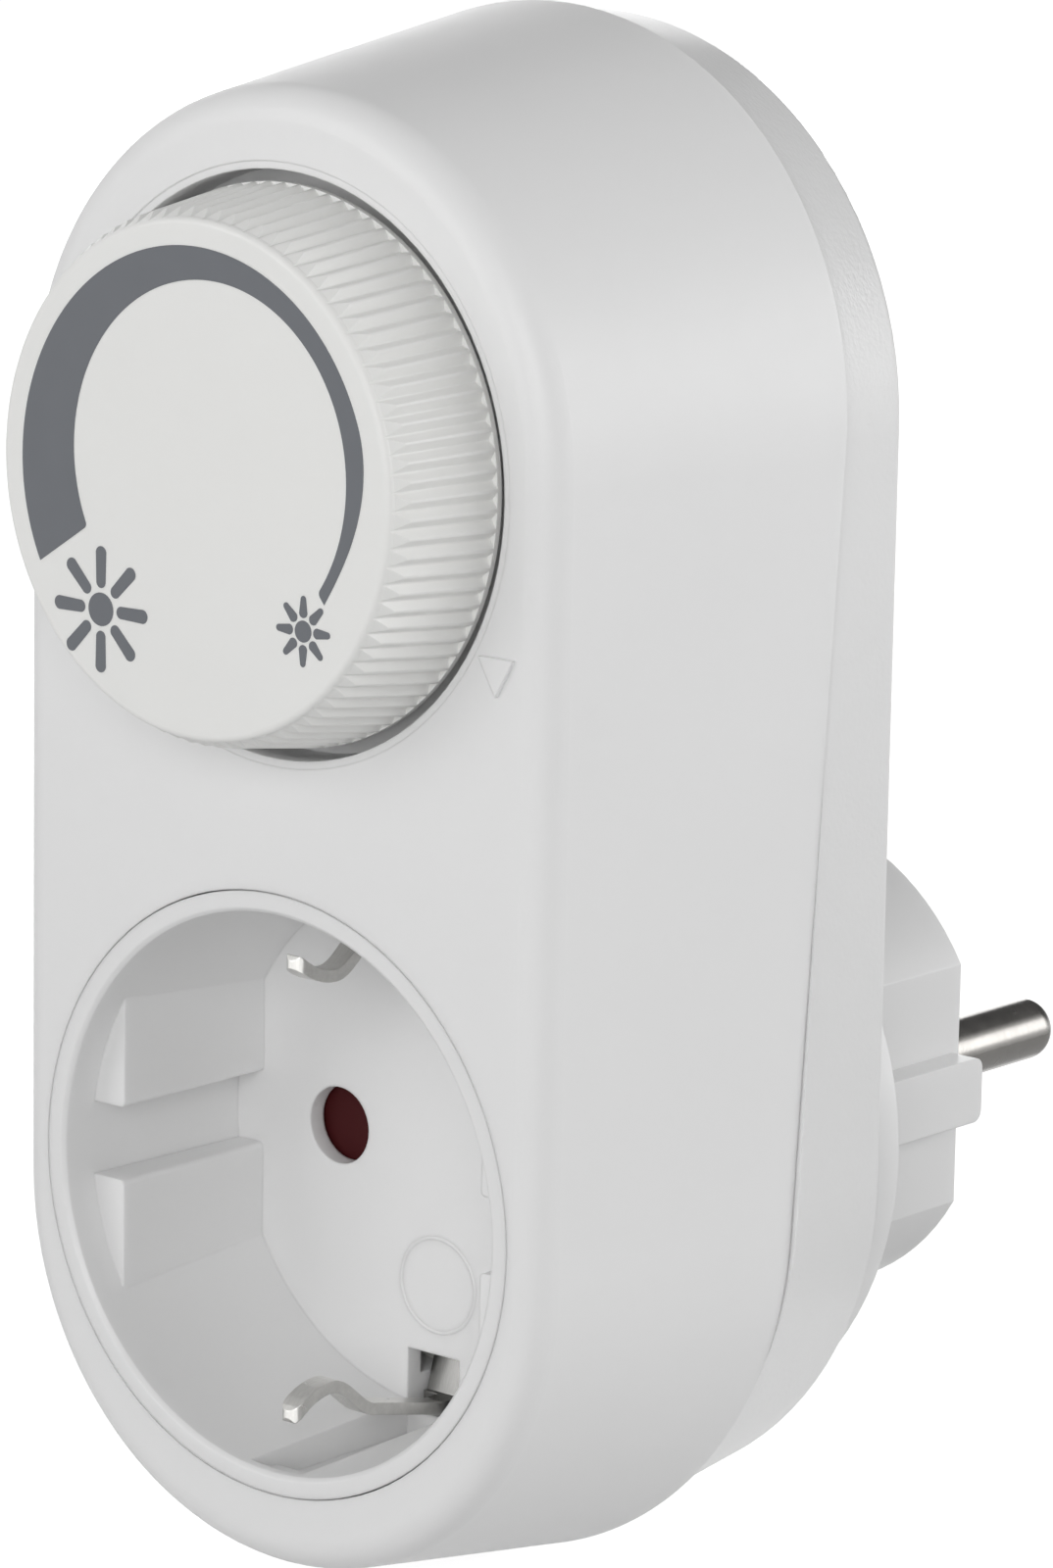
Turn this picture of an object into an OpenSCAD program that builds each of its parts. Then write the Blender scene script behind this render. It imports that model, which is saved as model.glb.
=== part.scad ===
// Plug-in lamp dimmer: a mains plug behind, a shuttered socket and a rotary knob in front.
// Frame in millimetres: X to the right, Y from the front towards the wall, Z up.
// Origin: on the plug's axis, midway between the two pins, at the end face of the plug.
// "Depth" is the distance behind the flat front face, measured along +Y.

/* [Housing] */
// Plain border of the front shell around its larger opening
front_margin = 2.9; // [2.4:0.1:4]
// Radius of the rounded front edge
front_edge_r = 2.5; // [1:0.1:3]
// Draft of the front shell's sides, in degrees
side_draft = 8.5; // [4:0.5:10]
// Height of the plain waist between the knob hole and the socket opening
waist = 9.6; // [8:0.1:14]
// Drop of the lower end's centre below the socket axis
lower_drop = 2.6; // [1:0.1:5]
// Rise of the upper end's centre above the knob axis
upper_rise = 1.5; // [0.5:0.1:4]
// Depth of the seam between the shells, at the waist
seam_depth = 25.5; // [24:0.1:27]
// Lean of the seam, deeper at the top, in degrees
seam_tilt = 3.4; // [0:0.1:4]
// Shadow gap at the seam
seam_gap = 0.08; // [0.05:0.01:0.3]
// Depth of the rear face
rear_depth = 35.4; // [34:0.1:40]
// Draft of the rear shell's sides, in degrees
rear_draft = 6.3; // [2:0.1:8]
// Rise of the rear shell's lower end centre over the front shell's
rear_lower_rise = 1.8; // [0.5:0.1:2.5]
// Rise of the rear shell's upper end centre over the front shell's
rear_upper_rise = 0.6; // [0:0.1:1]
// Radius of the rear edge
rear_edge_r = 1; // [0.5:0.1:2]
// Side wall of the front shell
wall = 2; // [1.6:0.1:2.4]
// Front wall of the front shell
front_wall = 2.4; // [2:0.1:3]
// Rear wall of the rear shell
rear_wall = 2.2; // [1.8:0.1:3]
// Thickness of the rear shell's locating lip
lip_t = 1.2; // [0.8:0.1:1.6]
// Reach of the lip ahead of the seam
lip_reach = 2; // [1:0.1:3]
// Clearance between the lip and the front shell
lip_clear = 0.15; // [0.1:0.05:0.3]

/* [Plug] */
// Radius of the plug body
plug_r = 18.5; // [18:0.1:19]
// Length of the plug body behind the collar
plug_len = 19.9; // [18:0.1:22]
// Distance of the plug's side flats from its axis
plug_flat_x = 16; // [15.5:0.1:16.5]
// Width of the guide rib on each flat
guide_rib_w = 5; // [4:0.1:6]
// Distance of the guide rib's outer face from the axis
guide_rib_x = 18.3; // [17.5:0.1:18.4]
// Corner radius at the end of the guide rib
guide_rib_r = 0.9; // [0.4:0.1:1.5]
// Radius of the collar at the foot of the plug
collar_r = 25.6; // [24:0.1:26.5]
// Height of the collar
collar_h = 4.2; // [3:0.1:6]
// Diameter of the plug pins
pin_d = 4.8; // [4:0.1:4.8]
// Free length of the plug pins
pin_len = 19; // [18:0.1:19.5]
// Step from the pins' free part down to the shank in the plug
pin_step = 0.2; // [0.1:0.05:0.4]
// Length of the shank that shows between the plug's face and the step
pin_neck = 0.3; // [0.2:0.05:0.6]
// Play of the shallow recess in the plug's face around each pin
pin_recess_play = 0.15; // [0.1:0.05:0.4]
// Depth of that recess
pin_recess_depth = 0.5; // [0.3:0.1:1]
// Distance between the pin axes
pin_pitch = 19; // [18:0.1:19.5]
// Diameter of the heads that hold the pins inside
pin_head_d = 7; // [6:0.1:8]
// Thickness of the pin heads
pin_head_t = 1.5; // [1:0.1:2]
// Thickness of the plug's solid nose
nose_t = 15.5; // [13:0.1:17]

/* [Socket] */
// Play of the recess around a plug body, at the floor
recess_play = 1.2; // [0.8:0.1:1.6]
// Widening of the recess towards its mouth
recess_flare = 0.7; // [0.3:0.1:1]
// Depth of the recess
recess_depth = 17.8; // [17:0.1:19]
// Width of the rim ring
rim_w = 1.5; // [1.2:0.1:2]
// Gap between the rim ring and the front shell
rim_gap = 0.1; // [0.05:0.05:0.4]
// Overhang of the flange that holds the insert behind the front wall
flange_w = 0.8; // [0.6:0.1:1]
// Thickness of the flange
flange_t = 1.8; // [1.2:0.1:3]
// Thickness of the recess floor
floor_t = 1.5; // [1.2:0.1:2.6]
// Play of the pin holes around a pin, on the diameter
pin_hole_play = 1; // [0.6:0.1:1.4]
// Play between the guide blocks and the flats of a plug
guide_play = 1.1; // [0.6:0.1:1.3]
// Play between the groove of the guide blocks and a plug's rib, on the width
groove_play = 0.5; // [0.3:0.1:1]
// Depth at which the guide blocks start
guide_start = 2.9; // [2:0.1:5]
// Rounding of the guide blocks beside the groove
guide_round = 0.35; // [0.2:0.05:1.4]

/* [Shutter] */
// Radius of the shutter's pivot
pivot_r = 2; // [1.6:0.1:2.4]
// Running clearance of the pivot
pivot_clear = 0.05; // [0.03:0.01:0.1]
// Thickness of the shutter
shutter_t = 2; // [1.6:0.1:2.4]
// Half angle of each shutter blade, in degrees
shutter_half_angle = 21; // [20:0.5:24]
// Free space ahead of and behind the shutter
shutter_clear = 0.3; // [0.25:0.05:0.5]
// Thickness of the carrier plate behind the shutter
carrier_t = 2; // [1.6:0.1:2.6]
// Turns of the shutter spring
spring_turns = 3; // [2:1:4]
// Wire radius of the shutter spring
spring_wire_r = 0.25; // [0.2:0.05:0.3]
// Rise of the shutter spring in one turn
spring_pitch = 0.95; // [0.95:0.05:1.1]

/* [Contacts] */
// Width of the earth strip behind the socket floor
strip_w = 4.4; // [4:0.1:5]
// Thickness of the earth strip
strip_t = 0.9; // [0.6:0.1:1]
// Width of the earth clips
clip_w = 1.7; // [1.4:0.1:3]
// Lean of the clip's arm towards the socket axis, in degrees
clip_lean = 13; // [6:0.5:14]
// Lift of the earth clip's crest from the floor slot towards the socket axis
clip_lift = 4.35; // [3.5:0.05:4.6]
// Depth of the clip's crest
clip_crest = 5.8; // [5:0.1:7]
// Depth at which the bend leaves the arm
clip_root = 10.8; // [9.5:0.1:12]
// Depth of the clip's rounded tip
clip_tip = 1.9; // [1.5:0.1:3.5]
// Fall of the tip back from the crest
clip_fall = 1.6; // [0.8:0.1:2]
// Height of the floor slots that the clips pass
slot_h = 4; // [3.5:0.1:4.5]
// Free space between the clip's arm and the trough in the wall
trough_play = 2.2; // [1.2:0.1:2.6]
// Wall round the trough
trough_wall = 1.2; // [0.8:0.1:1.6]
// Depth at which the trough starts
trough_start = 1; // [0.8:0.1:2]
// Wall left under the trough in the rim ring
trough_lip = 0.7; // [0.6:0.1:1]
// Length of the sleeve contacts
contact_len = 12; // [10:0.1:13]
// Wall of the sleeve contacts
contact_t = 0.7; // [0.5:0.1:0.8]
// Width of the plug's earth contacts
plug_strip_w = 6.4; // [5:0.1:7]

/* [Knob] */
// Radius over the ribs, at the foot of the knob
knob_r = 19.7; // [18:0.1:20.2]
// Height of the knob over the front face
knob_h = 8.6; // [7:0.1:11]
// Draft of the ribbed side, in degrees
knob_draft = 8.2; // [2:0.1:9]
// Radius of the knob's front edge
knob_edge_r = 0.5; // [0.3:0.1:1]
// Width of the bevel where the ribs start
rib_bevel = 0.55; // [0.4:0.05:1]
// Length of that bevel along the knob's axis
rib_bevel_len = 0.95; // [0.5:0.05:1.5]
// Depth at which the ribs end on the foot of the knob
rib_foot = 0.5; // [0.2:0.1:1.5]
// Height of the plain foot behind the ribs
knob_foot = 0.4; // [0.3:0.1:2]
// Number of ribs
rib_count = 90; // [60:2:108]
// Depth of the grooves between the ribs
rib_depth = 0.45; // [0.3:0.05:0.6]
// Wall of the knob
knob_wall = 1.8; // [1.4:0.1:2.2]
// Gap between the knob and its hole
knob_gap = 0.9; // [0.5:0.1:1.2]
// Width of the shallow step around the knob hole
hole_step_w = 0.55; // [0.2:0.05:0.8]
// Depth of the shallow step around the knob hole
hole_step = 0.12; // [0.05:0.01:0.3]
// Depth of the well that the knob stands in
well_depth = 4; // [3:0.1:5]
// Wall of the well
well_wall = 1.6; // [1.2:0.1:2]
// Floor of the well
well_floor_t = 1.8; // [1.4:0.1:2.4]
// Free height under the knob's boss
knob_lift = 0.5; // [0.3:0.1:1]
// Angle of the moulded pointer below the horizontal, in degrees
pointer_angle = 29.5; // [0:0.5:60]
// Height of the moulded pointer
pointer_h = 2.7; // [2:0.1:4]
// Width of the moulded pointer
pointer_w = 3.1; // [2:0.1:4]
// Land between the hole's step and the pointer's tip
pointer_gap = 0.45; // [0.1:0.05:0.6]
// Rise of the moulded pointer from the front
pointer_rise = 0.35; // [0.2:0.05:0.5]

/* [Control board] */
// Thickness of the circuit board
board_t = 1.6; // [1:0.1:2]
// Free space between the board's edge and the lip
board_gap = 0.3; // [0.2:0.1:1]
// Height of the tallest component behind the board
component_h = 8.4; // [8.4:0.1:9]
// Free space between the tallest component and the rear wall
component_clear = 0.6; // [0.3:0.1:1]
// Radius of the potentiometer's case
pot_r = 8.2; // [7.5:0.1:9]
// Height of the potentiometer's case
pot_h = 9; // [8:0.1:10]
// Radius of the potentiometer's bushing
bushing_r = 4.5; // [4:0.1:5]
// Radius of the potentiometer's shaft
shaft_r = 3; // [2.5:0.1:3.2]
// Running clearance of the shaft in its bushing
shaft_clear = 0.05; // [0.03:0.01:0.1]
// Clearance of the shaft in the knob
shaft_seat = 0.1; // [0.05:0.05:0.2]

/* [Fasteners] */
// Shank radius of the housing screws
screw_r = 1.5; // [1.2:0.1:1.8]
// Head radius of the housing screws
screw_head_r = 2.8; // [2.4:0.1:3.2]
// Head height of the housing screws
screw_head_h = 2; // [1.6:0.1:2.6]
// Distance of the housing screws from the mid plane
screw_x = 19.5; // [18:0.1:20]
// Shank radius of the board screws
board_screw_r = 1.2; // [1:0.1:1.4]
// Distance of the board screws from the knob axis
board_screw_x = 17; // [16:0.1:18]
// Length of the housing screws below their heads
screw_len = 14; // [10:0.5:16]
// Thickness of the seat under the heads of the housing screws
screw_seat_t = 3.2; // [2:0.1:4]
// Length of the board screws below their heads
board_screw_len = 7; // [5:0.5:9]
// Height of the small screws' heads
small_head_h = 1.6; // [1.2:0.1:2]

/* [Hidden] */
$fn = 96;
// Larger than the whole object, for half spaces and through cuts
reach = 300;
// Small overlap that joins the features of one solid
bite = 0.4;

// Depth stations, from the front face to the tips of the pins
collar_depth = rear_depth + collar_h;
plug_face_depth = collar_depth + plug_len;
front_y = -plug_face_depth;
rear_inner = rear_depth - rear_wall;
plug_cavity_depth = plug_face_depth - nose_t;

// Socket radii, from a plug body that fits it
recess_floor_r = plug_r + recess_play;
mouth_r = recess_floor_r + recess_flare;
rim_r = mouth_r + rim_w;
rim_hole_r = rim_r + rim_gap;
pin_x = pin_pitch / 2;
pin_r = pin_d / 2;
shank_r = pin_r - pin_step;
pin_hole_r = (pin_d + pin_hole_play) / 2;
guide_x = plug_flat_x + guide_play;
groove_w = guide_rib_w + groove_play;
floor_back = recess_depth + floor_t;

// Knob, its hole and its height over the socket
knob_hole_r = knob_r + knob_gap;
well_r = knob_hole_r + well_wall;
knob_z = knob_hole_r + rim_hole_r + waist;
pointer_r = knob_hole_r + hole_step_w + pointer_gap;

// Outlines of the two shells
front_half_w = max(knob_hole_r, rim_hole_r) + front_margin;
lower_z = -lower_drop;
upper_z = knob_z + upper_rise;
rear_lower_z = lower_z + rear_lower_rise;
rear_upper_z = upper_z + rear_upper_rise;
edge_end = front_edge_r * (1 - sin(side_draft));
seam_z = (lower_z + upper_z) / 2;
seam_half_w = front_w(seam_depth);
lip_inset = wall + lip_clear;
rear_side_wall = lip_inset + lip_t;
function front_w(d) = front_half_w + tan(side_draft) * (d - edge_end);
function rear_w(d) = seam_half_w - tan(rear_draft) * (d - seam_depth);
function seam_at(z) = seam_depth + tan(seam_tilt) * (z - seam_z);

// Stack of the socket: floor, shutter, carrier, contacts
shutter_front = floor_back + shutter_clear;
shutter_back = shutter_front + shutter_t;
carrier_front = shutter_back + shutter_clear;
carrier_back = carrier_front + carrier_t;
carrier_r = recess_floor_r - 0.7;
carrier_play = 0.2;
skirt_r = carrier_r + carrier_play + 1.6;
skirt_ledge = 1.2;
spring_mean_r = pivot_r + 1;
spring_pocket_r = spring_mean_r + 1.5;
spring_h = spring_turns * spring_pitch;
spring_front = shutter_back + shutter_clear / 2 + spring_wire_r;
pocket_end = spring_front + spring_h + 0.5;
pocket_back = pocket_end + 1.2;
contact_r = pin_r + 0.3;
contact_front = carrier_back;
contact_back = contact_front + contact_len;
tube_r = contact_r + contact_t + 0.6;
tube_wall = 1.2;
tube_back = contact_back - 3.5;

// Earth strip: its arms pass the floor in slots close to the wall
arm_z = recess_floor_r - strip_t / 2 + 0.3;
bridge_depth = pocket_back + 0.2 + strip_t / 2;
slot_half_w = strip_w / 2 + 0.3;
slot_inner_z = arm_z - slot_h;
trough_z = arm_z + strip_t / 2 + trough_play;
trough_half_w = slot_half_w + trough_wall;
tab_play = 0.25;
tab_foot = floor_back + tab_play + strip_t / 2;
tab_top = carrier_front - tab_play - strip_t / 2;
plug_strip_z = plug_r - 1.3;
plug_strip_depth = bridge_depth + strip_t;
plug_strip_end = plug_face_depth - 1.5;
plug_slot_half_w = plug_strip_w / 2 + 0.3;
plug_cavity_r = plug_strip_z - strip_t / 2 - 0.5 - 1.1;

// Stack of the control: rear wall, components, board, potentiometer, well
board_back = rear_inner - component_clear - component_h;
board_front = board_back - board_t;
pot_front = board_front - pot_h;
well_back = well_depth + well_floor_t;
board_half_w = front_w(board_front) - rear_side_wall - board_gap;
board_low_z = screw_z() + post_r() + 1.5;
pot_wall = 1.4;
wiper_t = 2.5;
wiper_r = pot_r - pot_wall - 0.8;
shaft_tip = -knob_h + 2 * knob_wall + 2;

// Screw posts beside the waist
function screw_z() = rim_hole_r + waist / 4;
function post_r() = screw_head_r + 0.6;
post_end = seam_at(screw_z()) + 1.5;
head_seat = post_end + screw_seat_t;
screw_tip = head_seat - screw_len;
column_r = screw_head_r + 1.4;
board_post_r = board_screw_r + 1.5;

// Colours
shell_white = [0.87, 0.87, 0.86];
rear_white = [0.84, 0.84, 0.83];
nickel = [0.72, 0.71, 0.69];
brass = [0.78, 0.66, 0.36];
copper = [0.72, 0.40, 0.22];

// Stands a front-view outline up between two depths
module slab(d0, d1) {
    translate([0, front_y + d1, 0])
        rotate([90, 0, 0])
            linear_extrude(d1 - d0)
                children();
}

// A round bar that runs into the depth
module rod(x, z, r, d0, d1) {
    translate([x, front_y + d1, z])
        rotate([90, 0, 0])
            cylinder(h = d1 - d0, r = r);
}

// A box given by its limits in X, depth and Z
module block(x0, x1, d0, d1, z0, z1) {
    translate([x0, front_y + d0, z0])
        cube([x1 - x0, d1 - d0, z1 - z0]);
}

// Turns a half profile (radius, depth) about an axis that runs into the depth
module turned(x, z, angle = 360) {
    translate([x, front_y, z])
        rotate([90, 0, 0])
            rotate_extrude(angle = angle)
                mirror([0, 1])
                    children();
}

// A strip of a side-view outline (depth, Z), centred on the mid plane
module side_cut(w, x = 0) {
    translate([x - w / 2, front_y, 0])
        rotate([90, 0, 90])
            linear_extrude(w)
                children();
}

// Long round form: a half profile (half width, depth) turned at both ends and drawn between them
module obround(low_z, high_z) {
    turned(0, high_z, 180)
        children();
    translate([0, front_y, low_z])
        rotate([90, 180, 0])
            rotate_extrude(angle = 180)
                mirror([0, 1])
                    children();
    translate([0, front_y, low_z])
        linear_extrude(high_z - low_z)
            union() {
                children();
                mirror([1, 0])
                    children();
            }
}

// Everything ahead of the slanted seam, or behind it
module ahead_of_seam(shift = 0) {
    translate([0, front_y + seam_depth + shift, seam_z])
        rotate([-seam_tilt, 0, 0])
            translate([-reach / 2, -reach, -reach / 2])
                cube(reach);
}

module behind_seam(shift = 0) {
    translate([0, front_y + seam_depth + shift, seam_z])
        rotate([-seam_tilt, 0, 0])
            translate([-reach / 2, 0, -reach / 2])
                cube(reach);
}

// Half profiles of the shells
module front_profile() {
    flat_w = front_half_w - front_edge_r * cos(side_draft);
    polygon([
        [0, 0],
        [flat_w, 0],
        [front_half_w, edge_end],
        [front_w(rear_depth), rear_depth],
        [0, rear_depth]
    ]);
    translate([flat_w, front_edge_r])
        circle(front_edge_r);
}

module front_inset_profile(inset, d0) {
    polygon([
        [0, d0],
        [front_w(d0) - inset, d0],
        [front_w(rear_depth) - inset, rear_depth],
        [0, rear_depth]
    ]);
}

module rear_profile() {
    edge_w = rear_w(rear_depth) - rear_edge_r * (1 / cos(rear_draft) - tan(rear_draft));
    edge_start = rear_depth - rear_edge_r * (1 - sin(rear_draft));
    polygon([
        [0, 0],
        [rear_w(0), 0],
        [rear_w(edge_start), edge_start],
        [edge_w, rear_depth],
        [0, rear_depth]
    ]);
    translate([edge_w, rear_depth - rear_edge_r])
        circle(rear_edge_r);
}

module rear_inset_profile() {
    polygon([
        [0, 0],
        [rear_w(0) - rear_side_wall, 0],
        [rear_w(rear_inner) - rear_side_wall, rear_inner],
        [0, rear_inner]
    ]);
}

// Moulded triangle that points at the knob's axis
module pointer_mark() {
    translate([0, knob_z])
        rotate(-pointer_angle)
            polygon([
                [pointer_r, 0],
                [pointer_r + pointer_h, pointer_w / 2],
                [pointer_r + pointer_h, -pointer_w / 2]
            ]);
}

module front_shell() {
    color(shell_white)
        difference() {
            union() {
                difference() {
                    intersection() {
                        obround(lower_z, upper_z)
                            front_profile();
                        ahead_of_seam(-seam_gap / 2);
                    }
                    obround(lower_z, upper_z)
                        front_inset_profile(wall, front_wall);
                }
                rod(0, knob_z, well_r, front_wall - bite, well_back);
                slab(-pointer_rise, front_wall / 2)
                    pointer_mark();
                for (s = [-1, 1]) {
                    rod(s * screw_x, screw_z(), post_r(), front_wall - bite, post_end);
                    rod(s * board_screw_x, knob_z, board_post_r, well_back - bite, board_front);
                }
            }
            rod(0, knob_z, knob_hole_r, -bite, well_depth);
            rod(0, knob_z, knob_hole_r + hole_step_w, -bite, hole_step);
            rod(0, knob_z, shaft_r + 0.6, well_depth - bite, well_back + bite);
            rod(0, 0, rim_hole_r, -bite, front_wall + bite);
            for (s = [-1, 1]) {
                rod(s * screw_x, screw_z(), screw_r + 0.05, screw_tip - 1, post_end + bite);
                rod(s * board_screw_x, knob_z, board_screw_r + 0.05,
                    board_back - board_screw_len - 0.5, board_front + bite);
            }
        }
}

// Lip that locates the rear shell inside the front shell
module locating_lip() {
    difference() {
        intersection() {
            obround(lower_z, upper_z)
                front_inset_profile(lip_inset, front_wall);
            ahead_of_seam(bite);
            behind_seam(-lip_reach);
        }
        obround(lower_z, upper_z)
            front_inset_profile(rear_side_wall, 0);
    }
}

// Outline of the plug body: a disc with two flats, each with a guide rib
module plug_outline() {
    intersection() {
        circle(plug_r);
        square([2 * plug_flat_x, 2 * plug_r + 1], center = true);
    }
}

module guide_rib(s) {
    root_x = plug_flat_x - bite;
    rib_end = plug_face_depth - guide_rib_r;
    mirror([s < 0 ? 1 : 0, 0, 0]) {
        block(root_x, guide_rib_x, collar_depth - bite, rib_end, -guide_rib_w / 2, guide_rib_w / 2);
        block(root_x, guide_rib_x, rib_end - bite, plug_face_depth,
            guide_rib_r - guide_rib_w / 2, guide_rib_w / 2 - guide_rib_r);
        for (t = [-1, 1])
            translate([root_x, front_y + rib_end, t * (guide_rib_w / 2 - guide_rib_r)])
                rotate([0, 90, 0])
                    cylinder(h = guide_rib_x - root_x, r = guide_rib_r);
    }
}

module rear_shell() {
    slot_low = plug_strip_z - strip_t / 2 - 0.5;
    color(rear_white)
        difference() {
            union() {
                difference() {
                    intersection() {
                        obround(rear_lower_z, rear_upper_z)
                            rear_profile();
                        behind_seam(seam_gap / 2);
                    }
                    obround(rear_lower_z, rear_upper_z)
                        rear_inset_profile();
                }
                locating_lip();
                rod(0, 0, collar_r, rear_inner + bite, collar_depth);
                slab(collar_depth - bite, plug_face_depth)
                    plug_outline();
                for (s = [-1, 1]) {
                    guide_rib(s);
                    rod(s * screw_x, screw_z(), column_r, post_end, rear_inner + bite);
                }
                slab(carrier_back, rear_inner + bite)
                    insert_stops();
            }
            rod(0, 0, plug_cavity_r, rear_inner - 1, plug_cavity_depth);
            for (s = [-1, 1]) {
                rod(s * pin_x, 0, shank_r + 0.05, plug_cavity_depth - 1, plug_face_depth + 1);
                rod(s * pin_x, 0, pin_r + pin_recess_play, plug_face_depth - pin_recess_depth,
                    plug_face_depth + 1);
                rod(s * screw_x, screw_z(), screw_r + 0.2, post_end - 1, head_seat + bite);
                rod(s * screw_x, screw_z(), screw_head_r + 0.3, head_seat, rear_depth + 1);
                mirror([0, 0, s < 0 ? 1 : 0]) {
                    block(-plug_slot_half_w, plug_slot_half_w, rear_inner - 1, collar_depth + bite,
                        slot_low, plug_strip_z + strip_t / 2 + 0.3);
                    block(-plug_slot_half_w, plug_slot_half_w, collar_depth, plug_strip_end + 0.6,
                        slot_low, plug_r + 1);
                    block(-plug_slot_half_w, plug_slot_half_w, plug_strip_end - 2.2,
                        plug_strip_end + 0.6, slot_low - 1.8, slot_low + 1);
                }
            }
        }
}

// Two arc ribs of the rear shell that press the insert's skirt forwards
module insert_stops() {
    intersection() {
        difference() {
            circle(skirt_r);
            circle(carrier_r + carrier_play + 0.2);
        }
        square([3 * skirt_r, 12], center = true);
    }
}

// Cup profile: rim flush with the front, drafted wall, flat floor
module cup_profile() {
    polygon([
        [0, recess_depth],
        [recess_floor_r, recess_depth],
        [mouth_r, 0.3],
        [mouth_r + 0.3, 0],
        [rim_r, 0],
        [rim_r, front_wall],
        [rim_r + flange_w, front_wall],
        [rim_r + flange_w, front_wall + flange_t],
        [rim_r, front_wall + flange_t],
        [rim_r, floor_back],
        [0, floor_back]
    ]);
}

// Skirt behind the floor, with the ledge that the carrier sits on
module skirt_profile() {
    inner_r = carrier_r + carrier_play;
    polygon([
        [inner_r - skirt_ledge, floor_back - bite],
        [skirt_r, floor_back - bite],
        [skirt_r, carrier_back],
        [inner_r, carrier_back],
        [inner_r, carrier_front],
        [inner_r - skirt_ledge, carrier_front]
    ]);
}

// Guide blocks: the segments of the recess outside the flats, split by the groove
module guide_blocks() {
    corner_x = guide_x + guide_round;
    corner_z = groove_w / 2 + guide_round;
    difference() {
        circle(rim_r - bite);
        square([2 * guide_x, 3 * rim_r], center = true);
        square([3 * rim_r, groove_w], center = true);
        square([2 * corner_x, 2 * corner_z], center = true);
    }
    for (sx = [-1, 1], sz = [-1, 1])
        translate([sx * corner_x, sz * corner_z])
            circle(guide_round);
}

module socket_insert() {
    color(shell_white)
        difference() {
            union() {
                turned(0, 0)
                    cup_profile();
                turned(0, 0)
                    skirt_profile();
                slab(guide_start, recess_depth + bite)
                    guide_blocks();
                rod(0, 0, pivot_r, floor_back - bite, pocket_end - 0.6);
                for (s = [0, 1])
                    mirror([0, 0, s])
                        block(-trough_half_w, trough_half_w, front_wall, floor_back, mouth_r, trough_z + trough_wall);
            }
            for (s = [-1, 1]) {
                rod(s * pin_x, 0, pin_hole_r, recess_depth - bite, floor_back + bite);
                mirror([0, 0, s < 0 ? 1 : 0]) {
                    block(-slot_half_w, slot_half_w, trough_start, recess_depth, arm_z - 2, rim_r - trough_lip);
                    block(-slot_half_w, slot_half_w, front_wall + trough_wall, recess_depth, arm_z - 2, trough_z);
                    block(-slot_half_w, slot_half_w, recess_depth - bite, floor_back + bite,
                        slot_inner_z, arm_z + strip_t / 2 + 0.3);
                    block(-slot_half_w, slot_half_w, floor_back, carrier_back + 1,
                        slot_inner_z, skirt_r + 1);
                }
            }
        }
}

// Bow-tie shutter: each blade closes one pin hole
module shutter_outline() {
    tip_r = pin_x + pin_hole_r + 1;
    for (s = [0, 180])
        rotate(s)
            intersection() {
                circle(tip_r);
                polygon([
                    [0, 0],
                    [2 * tip_r * cos(shutter_half_angle), 2 * tip_r * sin(shutter_half_angle)],
                    [2 * tip_r * cos(shutter_half_angle), -2 * tip_r * sin(shutter_half_angle)]
                ]);
            }
    circle(pivot_r + 2);
}

module shutter() {
    bevel = 0.6 * shutter_t;
    color([0.32, 0.09, 0.09])
        difference() {
            slab(shutter_front, shutter_back)
                shutter_outline();
            rod(0, 0, pivot_r + pivot_clear, shutter_front - 1, shutter_back + 1);
            for (s = [0, 180])
                rotate([0, s, 0])
                    translate([pivot_r + 3, front_y + shutter_front, 0])
                        rotate([0, shutter_half_angle, 0])
                            translate([0, 0, -bevel])
                                rotate([45, 0, 0])
                                    translate([0, -2 * bevel, -bevel])
                                        cube([pin_pitch, 2 * bevel, 2 * bevel]);
        }
}

// Tube along a list of points; each ring stands square to the path and is turned by its reference
function unit(v) = v / norm(v);
function along(p, i) = unit(p[min(i + 1, len(p) - 1)] - p[max(i - 1, 0)]);
function ring(p, refs, i, r, sides) =
    let (
        t = along(p, i),
        u = unit(refs[i] - t * (refs[i] * t)),
        v = cross(t, u)
    )
    [for (k = [0 : sides - 1]) p[i] + r * (cos(360 * k / sides) * u + sin(360 * k / sides) * v)];
function side_faces(rings, sides) = [
    for (i = [0 : rings - 2], k = [0 : sides - 1])
        let (
            a = i * sides + k,
            b = i * sides + (k + 1) % sides
        )
        each [[a, a + sides, b + sides], [a, b + sides, b]]
];
function end_faces(rings, sides) = [
    for (k = [1 : sides - 2])
        each [
            [0, k, k + 1],
            [(rings - 1) * sides, (rings - 1) * sides + k + 1, (rings - 1) * sides + k]
        ]
];

module tube(path, refs, r, sides) {
    rings = len(path);
    polyhedron(
        points = [for (i = [0 : rings - 1]) each ring(path, refs, i, r, sides)],
        faces = concat(side_faces(rings, sides), end_faces(rings, sides))
    );
}

// Helical torsion spring round the pivot
module shutter_spring() {
    steps = 12 * spring_turns;
    angles = [for (i = [0 : steps]) 360 * spring_turns * i / steps];
    path = [
        for (a = angles)
            [
                spring_mean_r * cos(a),
                front_y + spring_front + spring_pitch * a / 360,
                spring_mean_r * sin(a)
            ]
    ];
    color(nickel)
        tube(path, [for (a = angles) [0, 1, 0]], spring_wire_r, 6);
}

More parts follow.
